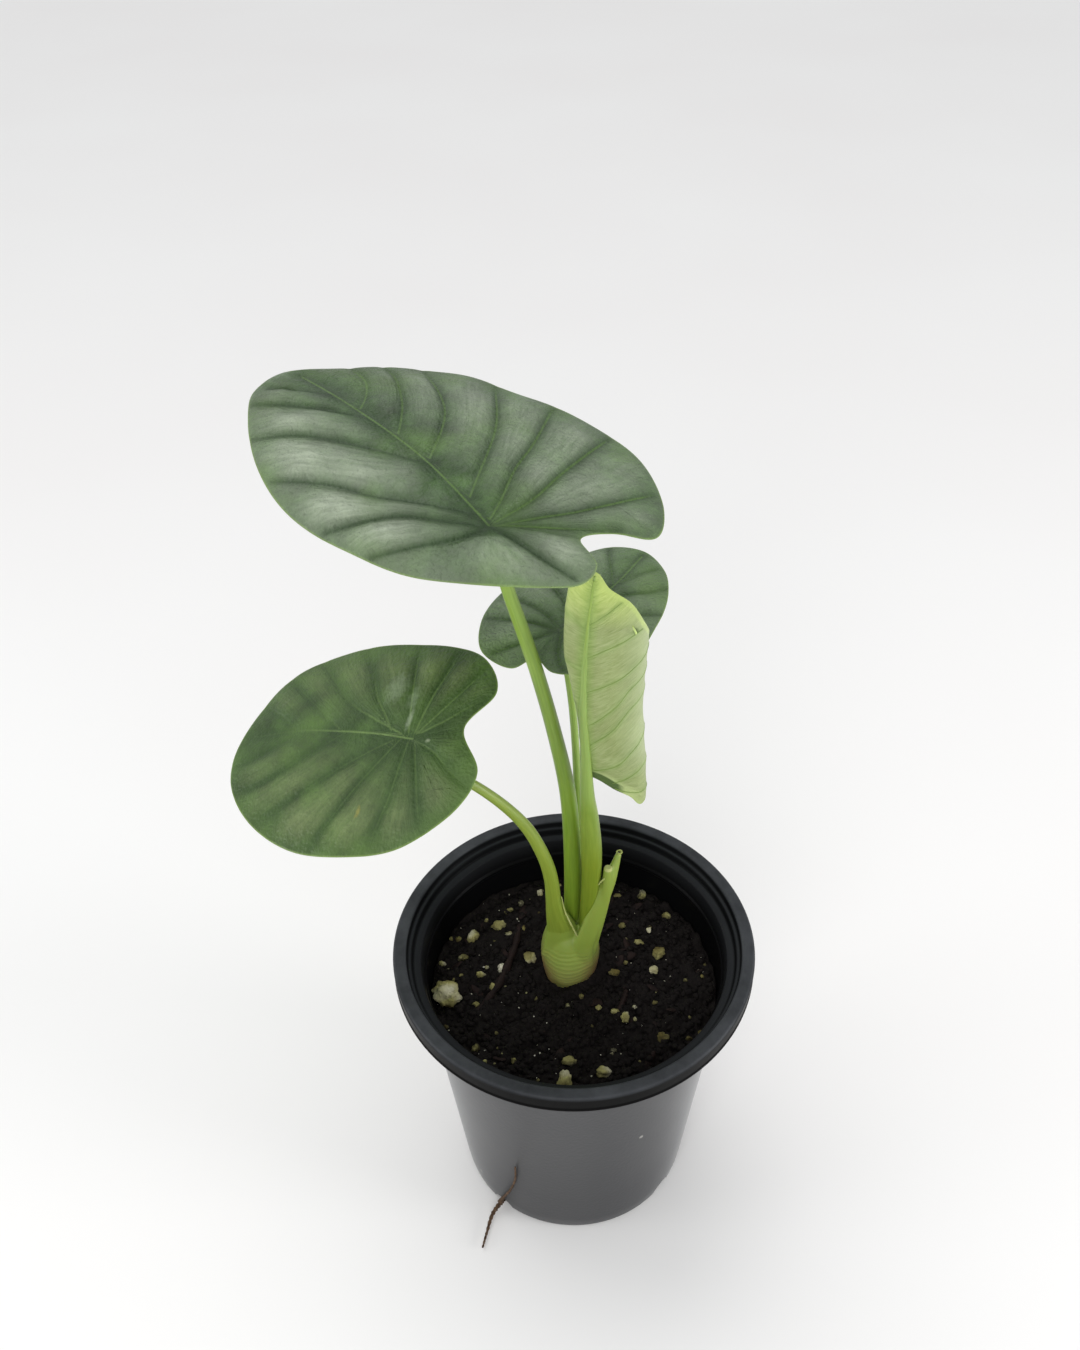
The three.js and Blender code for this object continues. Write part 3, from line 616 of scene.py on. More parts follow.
def solveFlow(leaf, side):  # a field on a half millimetre grid that is whole on each vein and even between them
    cell = bladeLook["cell"]
    low = leaf["rim"].min(0) - 6
    size = np.ceil((leaf["rim"].max(0) + 6 - low) / cell).astype(int)
    u, v = np.meshgrid(low[0] + np.arange(size[0]) * cell, low[1] + np.arange(size[1]) * cell, indexing="ij")
    spots = np.stack([u.ravel(), v.ravel()], axis=1)
    far = np.abs([offsetFrom(spots, path) for path in leaf[side + "All"]])
    whole = far.argmin(0).reshape(size)
    fixed = far.min(0).reshape(size) < bladeLook["onVein"]
    pull = 1 / (far + 0.3) ** 3
    field = ((pull * np.arange(len(far))[:, None]).sum(0) / pull.sum(0)).reshape(size)
    for _ in range(bladeLook["evenings"]):
        field[fixed] = whole[fixed]
        field = around(field)
    slope = np.hypot(*np.gradient(field, cell))
    for _ in range(bladeLook["slopeEvenings"]):
        slope = around(slope)
    return low, field, 1 / np.maximum(slope, bladeLook["leastSlope"])


def pick(low, grid, uv):  # a grid's value at points, evened between its corners
    x = np.clip((uv - low) / bladeLook["cell"], 0, np.array(grid.shape) - 1.001)
    i = x.astype(int)
    s, t = (x - i).T
    a, b = i.T
    return ((grid[a, b] * (1 - s) + grid[a + 1, b] * s) * (1 - t)
            + (grid[a, b + 1] * (1 - s) + grid[a + 1, b + 1] * s) * t)


def sheet(leaf, uv, isLeft):  # place, normal and pattern values of points on a leaf's quilted middle surface
    u, v = uv.T
    sides = ("leftVeins", "rightVeins")
    bothSides = lambda read: np.where(isLeft, *(read(side) for side in sides))
    flow = bothSides(lambda side: pick(*leaf[side + "Field"][:2], uv))
    spacing = bothSides(lambda side: pick(*leaf[side + "Field"][::2], uv))
    offsets = {side: np.array([offsetFrom(uv, path) for path in leaf[side + "All"][1:-1]]) for side in sides}
    across = bothSides(lambda side: offsets[side][np.abs(offsets[side]).argmin(0), np.arange(len(uv))])
    margin = np.abs(offsetFrom(uv, leaf["rim"]))
    fromMidrib = np.abs(offsetFrom(uv, leaf["line"]))
    patch = np.array([noise.noise(Vector((a * 0.09, b * 0.09, 7))) for a, b in uv])
    share = np.mod(flow, 1)
    between = np.sin(pi * share ** leaf["lean"]) ** 0.8
    soft = np.clip(spacing / 10, 0, 1) * (0.05 + 0.95 * np.clip(margin / bladeLook["flatMargin"], 0, 1) ** 0.8)
    soft = soft * (1 - np.exp(-(fromMidrib / bladeLook["flatMidrib"]) ** 2))
    groove = np.maximum(np.exp(-(np.abs(across) / leaf["grooveWidth"]) ** 1.5),
                        np.exp(-(fromMidrib / bladeLook["midribGroove"]) ** 2))
    lift = between * soft * (1 + 0.5 * patch)
    ripple = np.sin(1.25 * fromMidrib + 5 * patch + 3 * share) * between * soft
    wave = leaf["wave"] * np.sin(0.2 * u + 0.13 * v + 1) * np.exp(-margin / bladeLook["waveReach"])
    height = (np.where(isLeft, *leaf["puff"]) * (lift + leaf["pucker"] * ripple)
              - bladeLook["grooveDepth"] * sum(leaf["puff"]) * groove + wave)
    step = 0.2
    normal = np.cross(leaf["surface"](u + step, v) - leaf["surface"](u - step, v),
                      leaf["surface"](u, v + step) - leaf["surface"](u, v - step))
    normal /= np.linalg.norm(normal, axis=1)[:, None]
    return {"place": leaf["surface"](u, v) + normal * height[:, None], "normal": normal,
            "flow": np.where(isLeft, flow + leftFrom, flow), "margin": margin, "lift": lift, "groove": groove,
            "across": across, "fromMidrib": fromMidrib}


def bladeStations(leaf):  # rows from the rib skeleton out to the edge, and which side of the midrib each is on
    outline = leaf["outline"]
    leftRib, rightRib, joint = (np.array(p, float) for p in (*leaf["lobeRibs"], leaf.get("start", [0, 0])))
    leftSide, leftTip, notch, rightTip, rightSide = leaf["marks"]
    front, lobe = bladeLook["frontSteps"], bladeLook["lobeSteps"]
    straight = lambda a, b: lambda t: a + (b - a) * t
    spans = [(0, leftSide, front, lambda t: smoothPath(leaf["midrib"], [1 - t])[0], True),
             (leftSide, leftTip, lobe, straight(joint, leftRib), True),
             (leftTip, notch, lobe, straight(leftRib, joint), True),
             (notch, rightTip, lobe, straight(joint, rightRib), False),
             (rightTip, rightSide, lobe, straight(rightRib, joint), False),
             (rightSide, len(outline), front, lambda t: smoothPath(leaf["midrib"], [t])[0], False)]
    rows = [(along(i / steps), (start + (end - start) * (i / steps)) / len(outline), isLeft)
            for start, end, steps, along, isLeft in spans for i in range(steps)]
    hub, where, left = zip(*rows)
    return np.array(hub), smoothPath(outline, where, True), np.array(left)


def makeBlade(name, leaf, upper, under):
    hub, rim, left = bladeStations(leaf)
    count, rings = len(hub), bladeLook["rings"]
    share = 1 - (1 - np.linspace(0, 1, rings + 1)) ** bladeLook["crowding"]
    uv = (hub[:, None] + (rim - hub)[:, None] * share[None, :, None]).reshape(-1, 2)
    total = len(uv)
    made = sheet(leaf, uv, np.repeat(left, rings + 1))
    half = (bladeLook["marginThick"] + (bladeLook["thick"] - bladeLook["marginThick"])
            * (1 - np.exp(-made["margin"] / bladeLook["thinFrom"]))) / 2
    thick = made["normal"] * half[:, None]
    outer = made["place"].reshape(count, rings + 1, 3)
    outward = outer[:, -1] - outer[:, -2]
    edge = outer[:, -1] + outward / (np.linalg.norm(outward, axis=1)[:, None] + 1e-9) * 0.1
    points = np.vstack([made["place"] + thick, made["place"] - thick, edge])
    values = {label: np.concatenate([made[label], made[label], np.full(count, atEdge)])
              for label, atEdge in (("margin", 0.0), ("lift", 0.0), ("groove", 0.0), ("across", 9.0))}
    last = np.arange(count) * (rings + 1) + rings
    maps = {"flat": uv / 10, "veins": np.stack([made["flow"], made["fromMidrib"] / 10], axis=1)}
    shared = {}  # points that several rows have in common on the ribs
    same = np.arange(len(points))
    for i in range(count):
        first = shared.setdefault((round(hub[i, 0], 4), round(hub[i, 1], 4)), i)
        for side in (0, total):
            same[side + i * (rings + 1)] = side + first * (rings + 1)
    corners = []
    for i in range(count):
        j = (i + 1) % count
        for k in range(rings):
            a, d = i * (rings + 1) + k, j * (rings + 1) + k
            b, c = a + 1, d + 1
            corners += [[a, b, c, d], [total + d, total + c, total + b, total + a]]
        a, c = last[i], last[j]
        corners += [[a, 2 * total + i, 2 * total + j, c], [2 * total + i, total + a, total + c, 2 * total + j]]
    used, renumbered = np.unique(same[np.array(corners)], return_inverse=True)
    mesh = meshFrom(name, points[used], renumbered.reshape(-1, 4).tolist(), [upper, under])
    mesh.polygons.foreach_set("material_index", [0, 1] * (len(corners) // 2))
    order = np.array(corners).ravel()
    for label, data in maps.items():
        data = np.vstack([data, data, data[last]])
        mesh.uv_layers.new(name=label).data.foreach_set("uv", data[order].ravel())
    for label, data in values.items():
        mesh.attributes.new(label, "FLOAT", "POINT").data.foreach_set("value", data[used])
    return newObject(name, mesh)


def veinPaths(leaf, kind, look):  # raised veins as thin strands half sunk in the underside of the blade
    lines = [(leaf["line"], True)]
    if kind == "lateral":
        lines = [(smoothPath(path, np.linspace(0, bladeLook["veinEnd"], 14)), side == "leftVeins")
                 for side in look["sides"] for path in leaf[side + "All"][1:-1]]
    start, end = look[kind]
    paths = []
    t = np.linspace(0, 1, 40)
    for line, isLeft in lines:
        made = sheet(leaf, smoothPath(line, t), np.full(len(t), isLeft))
        close = np.nonzero((made["margin"] < bladeLook["veinClear"]) & (t > 0.3))[0]
        last = close[0] if len(close) else len(t)  # a vein stops before the margin
        radius = (start + (end - start) * t ** 0.8) * np.minimum(1, 0.2 + t / 0.08)
        places = made["place"] - made["normal"] * (bladeLook["thick"] / 2 + look["rise"] * radius)[:, None]
        paths.append(np.hstack([places, radius[:, None]])[:last])
    return paths


for leaf in leaves.values():
    prepareLeaf(leaf)
print("leaves laid out")

openLeafLook = {
    # the pale grey-green tone on the raised parts is a painted sheen
    "tones": [(0.3, "#1c3409"), (0.5, "#314f1c"), (0.72, "#52733a")], "sheenPaint": "#a8b39b", "sheenPaintBase": 0.3,
    # the groove tone is painted shade in the vein grooves
    "sheenPaintAmount": (1.0, 0.56), "groove": "#1c390b", "grooveShadeAmount": 0.7, "fresh": "#5f7d36",
    "freshAtEdge": 0.08, "rim": "#7f9a4a", "coat": 0.12, "bump": 0.75, "gloss": (0.32, 0.5), "line": "#64863a",
    # the top leaf's dark left line tone is painted crease shade
    "leftLineAndCreaseShade": "#213c10", "lines": (0.45, 0.5), "lineFade": (9.0, 12.0), "midribLine": 0.65,
    "midribFade": (20.0, 30.0), "patches": [],
}
leftLeafLook = dict(
    openLeafLook, tones=[(0.3, "#283f12"), (0.5, "#38531f"), (0.72, "#4c6a2e")], sheenPaint="#879562", sheenPaintBase=0.1,
    sheenPaintAmount=(0.5, 0.5), grooveShadeAmount=0.4, freshAtEdge=0.15, coat=0.08, bump=0.45, gloss=(0.38, 0.56),
    line="#7d9855", leftLineAndCreaseShade="#7d9855", lines=(0.2, 0.45), lineFade=(1.0, 3.2), midribFade=(1.8, 4.2),
    # the pale grey-green patches are painted sheen near the joint; the yellow-brown one is a spot on the leaf
    patches=[(1.1, -1.6, 0.4, 0.6, "#8fa080", 0.42), (0.45, -1.25, 0.22, 0.5, "#8fa080", 0.35),
             (0.32, -0.6, 0.1, 0.42, "#a0ae92", 0.6), (-0.5, 0.05, 0.09, 0.08, "#a9b494", 0.5),
             (0.85, 2.2, 0.08, 0.22, "#8f8a3c", 0.6)])
backLeafLook = dict(openLeafLook, tones=[(0.3, "#425c2b"), (0.5, "#547040"), (0.72, "#6b8850")],
                    sheenPaintAmount=(0.85, 0.8), leftLineAndCreaseShade="#64863a", lines=(0.3, 0.3))
youngInsideLook = dict(
    openLeafLook, tones=[(0.25, "#6d8f3f"), (0.5, "#7fa04c"), (0.78, "#92b25e")], sheenPaint="#a7bd8b",
    groove="#5c7d33", fresh="#a3c155", rim="#a9cf5c", coat=0.1, lines=(0.0, 0.0), midribLine=0.0)
underLook = {
    "tones": [(0.3, "#6f8f55"), (0.7, "#86a468")], "midrib": "#94ae6a", "line": "#9db874", "lineAmount": 0.3,
    "hatch": "#dfe6d2", "rim": "#93b05c", "rimWidth": 0.5, "tip": "#93b05c", "tipSpan": (7.0, 12.0),
    "tipAmount": 0.2, "inner": None,
}
youngLook = {
    # the young leaf's darker line tone along the veins is partly vein colour and partly painted soft shade
    # beside them
    "tones": [(0.3, "#8a955f"), (0.7, "#9ca774")], "midrib": "#82984c", "line": "#7f9a50", "lineAmount": 0.5,
    # the bright apex tone is partly yellow-green colour and partly painted light where the big leaf shades it
    "hatch": "#dbe3ca", "rim": "#a9bb66", "rimWidth": 1.2, "tip": "#c6d775", "tipSpan": (5.3, 6.7),
    "tipAmount": 0.9,
    # on the rolled parts: a painted sheen on the turn to the back, a painted highlight on the fold, painted
    # shade on the inner side below it
    "inner": {"amount": 0.9, "turned": "#b9c4a0", "foldHighlight": "#afbe80", "foldShade": "#324d12",
              "tear": (5.25, 1.21, 0)},
}
leafUnder = leafUnderSkin("leafUndersidePaleGreen", underLook)
veinBelow = veinSkin("undersideVeinPaleGreen", "#86a05c", "#a3b878")
openVeins = {"midrib": (0.95, 0.25), "lateral": (0.4, 0.08), "rise": 0.55, "sides": ("leftVeins", "rightVeins"),
             "skins": (veinBelow, veinBelow), "slot": "leaf"}
youngVeins = {"midrib": (0.6, 0.3), "lateral": (0.13, 0.06), "rise": -0.15, "sides": ("leftVeins",),
              "skins": (veinSkin("youngMidribGreen", "#7c9446", "#8aa050"),
                        veinSkin("youngVeinGreen", "#718844", "#7f9450")), "slot": "young_leaf"}
finishes = {"top": (leafUpperSkin("leafUpperGreen", openLeafLook), leafUnder),
            "left": (leafUpperSkin("leafUpperSofterGreen", leftLeafLook), leafUnder),
            "back": (leafUpperSkin("leafUpperPalerGreen", backLeafLook), leafUnder),
            "young": (leafUpperSkin("youngLeafInnerGreen", youngInsideLook),
                      leafUnderSkin("youngLeafUndersidePale", youngLook))}
for name, leaf in leaves.items():
    look = youngVeins if name == "young" else openVeins
    finishPiece(makeBlade(name + "LeafBlade", leaf, *finishes[name]), look["slot"], name + "_blade")
    for part, kind, skin, sides in zip(("Midrib", "Veins"), ("midrib", "lateral"), look["skins"], (10, 8)):
        made = makeStrands(name + "Leaf" + part + "Below", veinPaths(leaf, kind, look), skin, sides)
        finishPiece(made, look["slot"])
    print("leaf made:", name)


# ---- stalks ----

stalkRows = 90  # along each stalk, and along its collar on the bulb
stalks = {
    "top": {
        "stations": [
            [-1.5, 7.4, 93, 2.3], [-0.6, 7, 111, 2.5], [-0.6, 7, 136, 2.5], [-1.9, 6.6, 161, 2.35],
            [-5.6, 6.2, 184.5, 2.05], [-10, 5.8, 206, 1.9], [-14.1, 5.4, 222.6, 1.8], [-16.5, 5.2, 232, 1.7],
            [-20.5, 5, 250.6, 1.6]],
        "low": 95, "high": 250,
        "tones": [(0.0, "#7a942a"), (0.35, "#749029"), (0.7, "#7e9a3a"), (1.0, "#8eaa4a")], "streak": "#d9dfc8",
    },
    "left": {
        "stations": [
            [-3.5, 2.6, 93, 5.8, 1.8], [-3.7, 2.4, 101, 5.1, 1.8], [-4.3, 2.4, 107, 4.2, 1.9],
            [-5.3, 2.4, 112, 3.3, 2], [-6.2, 2.2, 119, 2.4, 2.2], [-6.7, 1.6, 128, 2.15], [-8.2, 0.8, 137.5, 2],
            [-12.6, -1, 152, 1.8], [-17.9, -3.2, 162.8, 1.6], [-26.8, -6.8, 175.9, 1.4],
            [-35.5, -8.2, 183.5, 1.35], [-41.6, -8, 192.6, 1.3]],
        "low": 95, "high": 190, "tones": [(0.0, "#7c8c33"), (0.4, "#809132"), (1.0, "#81943d")],
        "streak": "#dfe4cd",
    },
    "back": {
        "stations": [
            [-0.4, 12.2, 93, 1.5], [0.7, 12.4, 118, 1.3], [0.9, 12.6, 139, 1.2], [0.9, 13, 159, 1.15],
            [-0.1, 15.5, 180, 1.1], [-1.4, 18.5, 192, 1.1], [-3.8, 23.6, 204.4, 1.1]],
        "low": 95, "high": 205, "tones": [(0.0, "#7d9b3a"), (1.0, "#9ab65c")], "streak": "#dfe4cd",
    },
    "young": {
        "stations": [
            [3.5, 4.2, 93, 2.2], [3.9, 4, 104, 2.5], [4.5, 3.5, 115, 2.75], [5.1, 3, 127, 2.95],
            [5.1, 2, 141, 3.1], [4.3, 0.2, 157, 2.7], [3.7, -1.9, 167, 2.1], [3.4, -1.9, 175, 1.7],
            [3, -1.55, 184, 1.4], [2.5, -1.3, 195, 1.15], [2.5, -1.35, 205, 0.95], [3, -1.5, 219, 0.7],
            [4, -1.5, 231, 0.5], [5, -1.5, 241, 0.3]],
        "low": 95, "high": 200,
        "tones": [(0.0, "#6b7d22"), (0.4, "#768723"), (0.75, "#809a42"), (1.0, "#869e50")], "streak": "#dfe6c8",
    },
}


def underBlade(rows, leaf):  # presses a stalk's end up against the leaf's underside instead of through it
    along, across, up = leafFrame(leaf)
    flat = rows.reshape(-1, 3)
    away = flat - np.array(leaf["joint"])
    above = np.clip(away @ up - droopOf(leaf, away @ along, away @ across) + 0.25, 0, None)
    return (flat - up * above[:, None]).reshape(rows.shape)


for name, look in stalks.items():
    rows, path = tubePoints(look["stations"], stalkRows, sides=28)
    if "facing" in leaves[name]:
        rows = underBlade(rows, leaves[name])
    mesh = tubeMesh(name + "Stalk", rows, path, [stalkSkin(name + "StalkGreen", look)])
    finishPiece(newObject(name + "Stalk", mesh), "petiole", name + "_petiole")
print("stalks made")


# ---- swollen stem base ----

bulb = {
    "middle": (-1.4, 6.8),
    "profile": [
        [3.5, 64], [6.2, 68], [7.4, 75], [8.3, 81], [9.1, 86], [9.4, 90], [9.1, 93.5], [8.2, 97.5], [7, 101],
        [5.2, 104], [3, 105.5]],
    "rootAngles": [20, 95, 165, 235, 310],
    "cutStalk": [
        [4.8, 3.4, 88, 1.5], [6.1, 2.9, 97, 1.4], [8, 2.3, 109, 1.4], [9.6, 2, 122, 1.6], [10.1, 2, 133.5, 1.4]],
    "sheath": [
        [1.6, 1.8, 90, 4.8, 2.6], [2.7, 0.9, 99, 3.4, 2.3], [5.1, 1.1, 108, 2.9, 1.8],
        [7.7, 1.9, 118, 2.7, 1.6], [10.2, 2.9, 126.5, 2.4, 1.4], [12.1, 3.9, 132.5, 1.5, 1.1],
        [13.3, 4.8, 137, 0.9, 0.9]],
    "edges": [
        [
            [-3.8, 1.5, 121.5, 0.12], [-2.8, 1.1, 115.5, 0.2], [-1.6, 0.9, 111.5, 0.24],
            [-0.1, 0.7, 107.3, 0.27], [1.4, 0.3, 103.6, 0.22], [2.4, 0, 101, 0.1]],
        [
            [7.3, 0.9, 127.4, 0.12], [8, 0.9, 128.8, 0.26], [9, 1, 130, 0.26], [10.1, 1.3, 131, 0.22],
            [11.2, 2, 132.6, 0.12]],
        [
            [13, 4.1, 137.3, 0.25], [14, 4.5, 137.4, 0.28], [14, 5.4, 137.4, 0.28], [13, 5.5, 137.3, 0.25],
            [12.7, 4.8, 137.2, 0.25], [13, 4.1, 137.3, 0.25]]],
    "shoulder": [
        [-2, 4.2, 93, 7.4, 5.2], [-2.4, 3.8, 98, 6.2, 4], [-3, 3.3, 103, 4.9, 2.8], [-3.8, 2.8, 108, 3.9, 2],
        [-4.6, 2.5, 112, 3, 1.6]],
    "cutEnd": [[10.1, 2, 132.9, 1.25], [10.12, 2, 133.5, 1.3], [10.15, 2, 134, 0.9]],
    "roots": [[3, 74, 1.2], [9, 63, 1.1], [15, 47, 0.9], [18, 30, 0.7]],
    "tear": [
        [14.6, -2, 226.3, 0.1], [14.8, -2.6, 226, 0.22], [15.2, -2.9, 225.3, 0.28], [15.5, -2.6, 224.3, 0.24],
        [15.4, -2.1, 223.6, 0.1]],
    "sides": 48, "collarTop": 113, "collarWidth": (1.2, 0.88), "wobble": 0.025, "voxel": 0.36,
    "softness": 0.6, "softenings": 9,
    "edge": ("#929a50", "#b3b87c"), "skinLow": "#8f6a4c",
    "skinTones": [(0.0, "#77773c"), (0.12, "#a3a75a"), (0.45, "#90a04c"), (0.8, "#7f923a")],
}


# Skin of the bulb: pale olive with faint rings, brown where it meets the mix
def bulbSkin(look):
    material, add = newMaterial("bulbOliveSkin")
    place = add("TexCoord").outputs["Object"]
    part = add("SeparateXYZ", {0: place}).outputs
    cloud = add("TexNoise", {"Vector": place, "Scale": 160.0, "Detail": 3.0})
    level = unevenHeight(add, part["Z"], cloud, 0.008)
    sideways = add("Math", {"operation": "ADD", 0: part["X"], 1: 0.0014})
    outward = add("Math", {"operation": "ABSOLUTE", 0: sideways})
    rings = add("TexWave", {"Vector": place, "bands_direction": "Z", "Scale": 180.0, "Distortion": 3.0,
                            "Detail": 2.0})
    climb, tinge, ringed = makeMasks(add, [
        [(level, (0.082, 0.106))],
        [(outward, (0.0035, 0.008)), (level, (0.096, 0.086), (0, 0.75))],
        [(rings.outputs["Fac"], (0, 1)), (part["Z"], (0.1, 0.096))]])
    tone = add("ValToRGB", {"Fac": climb, "stops": look["skinTones"]})
    colour = paintOver(add, tone, [(tinge, look["skinLow"])])
    return endMaterial(material, colour, roughness=0.45, shine=0.5, bump=(ringed, 0.25, 0.0004), more=sapGlow)


def lathe(profile, sides, middle=(0, 0)):  # rows of points round an upright axis
    angle = np.arange(sides) / sides * 2 * pi
    return np.stack([np.stack([middle[0] + r * np.cos(angle), middle[1] + r * np.sin(angle), np.full(sides, z)],
                              axis=1) for r, z in profile])


def makeStemBase():
    dense = smoothPath([[r, z, 0] for r, z in bulb["profile"]], np.linspace(0, 1, 40))[:, :2]
    sides = bulb["sides"]
    rows = lathe(dense, sides, bulb["middle"])
    wobble = 1 + bulb["wobble"] * np.sin(3 * np.arange(sides) / sides * 2 * pi + 1)
    middle = np.array(bulb["middle"])
    rows[:, :, :2] = middle + (rows[:, :, :2] - middle) * wobble[None, :, None]
    parts = [(rows, rows.mean(1))]
    for angle in bulb["rootAngles"]:
        a = radians(angle)
        parts.append(tubePoints([[middle[0] + r * np.cos(a), middle[1] + r * np.sin(a), z, w]
                                 for r, z, w in bulb["roots"]], steps=16, sides=10))
    parts += [tubePoints(bulb[prong], steps=40, sides=24) for prong in ("cutStalk", "sheath", "shoulder")]
    for look in stalks.values():  # collars that thin out upwards, so that each stalk grows out of the bulb
        rows, path = tubePoints(look["stations"], stalkRows, sides=20)
        keep = int(np.argmax(path[:, 2] > bulb["collarTop"]))
        centre = path[:keep, None]
        fade = np.linspace(*bulb["collarWidth"], keep)[:, None, None]
        parts.append((centre + (rows[:keep] - centre) * fade, path[:keep]))
    whole = bmesh.new()
    for rows, path in parts:
        mesh = tubeMesh("part", rows, path)
        whole.from_mesh(mesh)
        bpy.data.meshes.remove(mesh)
    piece = newObject("stemBase", closeBuild("stemBase", whole))
    withSettings(piece.modifiers.new("oneSkin", "REMESH"), mode="VOXEL", voxel_size=bulb["voxel"] * mm,
                 use_smooth_shade=True)
    withSettings(piece.modifiers.new("soften", "SMOOTH"), factor=bulb["softness"],
                 iterations=bulb["softenings"])
    bakeModifiers(piece)
    piece.data.materials.clear()
    piece.data.materials.append(bulbSkin(bulb))
    return piece


finishPiece(makeStemBase(), "stem", "stem_base")
beads = 0.3 * np.sin(np.arange(26) * 0.61)
edges = [beaded(path, count=26, by=beads, step=1.7) for path in bulb["edges"]]  # thin dry margins
edges.append(smoothPath(bulb["cutEnd"], np.linspace(0, 1, 5)))
finishPiece(makeStrands("sheathEdges", edges, veinSkin("drySheathEdge", *bulb["edge"]), sides=12), "stem")
curl = smoothPath(bulb["tear"], np.linspace(0, 1, 16))
finishPiece(makeStrands("youngLeafTear", [curl], veinSkin("tornLeafEdge", "#a9bf6a", "#c2cf8e")), "young_leaf")
print("stem base made")


# ---- pot ----

pot = {
    "height": 103, "rimOuter": 56, "rimInner": 52, "baseOuter": 38.3, "flare": 0.102, "wall": 1, "floor": 1.2,
    "wallTop": 96.4, "skirt": 6, "sides": 160, "sharpFrom": 50, "notchAngles": [-129, -39, 51, 141],
    "notchRadius": 4, "notchInner": 31, "notchLength": 12, "body": "#1f2023", "wallDark": "#17181b",
    # the ring's top tone is partly scuffed grey and partly painted highlight
    "wallShine": 0.42, "dustFilm": 0.45, "rim": "#424447", "skirtShade": "#050505", "rimShine": 0.05,
    # painted shade inside the pot: dark on the inner wall and in the corners of the steps, lighter on the ledges
    "insideShadeBands": [
        (0.1, "#0b0b0c"), (0.25, "#1e1f21"), (0.44, "#232527"), (0.5, "#0e0f10"), (0.56, "#0e0f10"),
        (0.61, "#26282a"), (0.65, "#26282a"), (0.7, "#0e0f10"), (0.75, "#0e0f10"), (0.81, "#2b2d30")],
    "dust": "#7d7b76",
}


# Moulded charcoal plastic with a film of dust that brightens its sides, and a few specks of dried mix
def wallPlastic(look):
    material, add = newMaterial("dustyCharcoalPlastic")
    place = add("TexCoord").outputs["Object"]
    cloud, fine = (add("TexNoise", {"Vector": place, "Scale": scale, "Detail": detail})
                   for scale, detail in ((22, 4), (900, 2)))
    specks = add("TexVoronoi", {"Vector": place, "Scale": 95.0}).outputs
    small = add("Math", {"operation": "LESS_THAN", 0: specks["Distance"], 1: 0.07})
    rare = add("Math", {"operation": "GREATER_THAN", 0: add("SeparateXYZ", {0: specks["Color"]}), 1: 0.82})
    speck = add("Math", {"operation": "MULTIPLY", 0: small, 1: rare})
    wall = add("ValToRGB", {"Fac": cloud, "stops": [(0.3, look["wallDark"]), (0.7, look["body"])]})
    gloss = add("MapRange", {"Value": cloud, "to": (0.34, 0.5)})
    film = {"Sheen Weight": look["dustFilm"], "Sheen Roughness": 0.25}
    return endMaterial(material, paintOver(add, wall, [(speck, look["dust"])]), gloss, look["wallShine"],
                       bump=(fine, 0.12, 0.0003), more=film)


# The same plastic where it is clean, with painted light and shade: near black from painted shade in the pot and
# on the skirt, darker painted bands in the corners of the inner steps, and a scuffed grey on top of the ring
# that is partly painted highlight
def rimPlastic(look):
    material, add = newMaterial("scuffedBlackPlastic")
    place = add("TexCoord").outputs["Object"]
    height = add("SeparateXYZ", {0: place}).outputs["Z"]
    scuff = add("TexNoise", {"Vector": place, "Scale": 70.0, "Detail": 5.0, "Roughness": 0.65})
    level = add("VectorMath", {"operation": "MULTIPLY", 0: place, 1: (1, 1, 0)})
    radius = add("VectorMath", {"operation": "LENGTH", 0: level})
    # the ring's top: a lighter tone, partly painted highlight, broken by scuffs
    topHighlightAndScuffs, within, fromMiddle = makeMasks(add, [
        [(height, (0.1018, 0.1027)), (scuff, (0.3, 0.65), (0.45, 1))],
        [(radius, (0.0532, 0.0518))], [(radius, (0.046, 0.054))]])
    # painted shade bands inside the pot, lighter on the ledges of the steps
    inner = add("ValToRGB", {"Fac": fromMiddle, "stops": look["insideShadeBands"]})
    # the base tone is painted shade on the skirt and the ring's outer lip
    colour = paintOver(add, look["skirtShade"], [(within, inner), (topHighlightAndScuffs, look["rim"])])
    gloss = add("MapRange", {"Value": scuff, "to": (0.22, 0.5)})
    return endMaterial(material, colour, gloss, look["rimShine"], bump=(scuff, 0.2, 0.0004))


def rounded(profile, radius=0.25):  # a profile with every corner cut to a short curve
    points = np.array(profile, float)
    out = [points[0]]
    for a, b, c in zip(points[:-2], points[1:-1], points[2:]):
        sides = (a - b, c - b)
        r = min(radius, *(np.linalg.norm(side) * 0.4 for side in sides))
        start, end = (b + side / np.linalg.norm(side) * r for side in sides)
        out += [start, start * 0.25 + b * 0.5 + end * 0.25, end]
    return np.array([*out, points[-1]])


def wallAt(z):  # the outer radius of the pot's wall at a height
    return pot["baseOuter"] + pot["flare"] * z


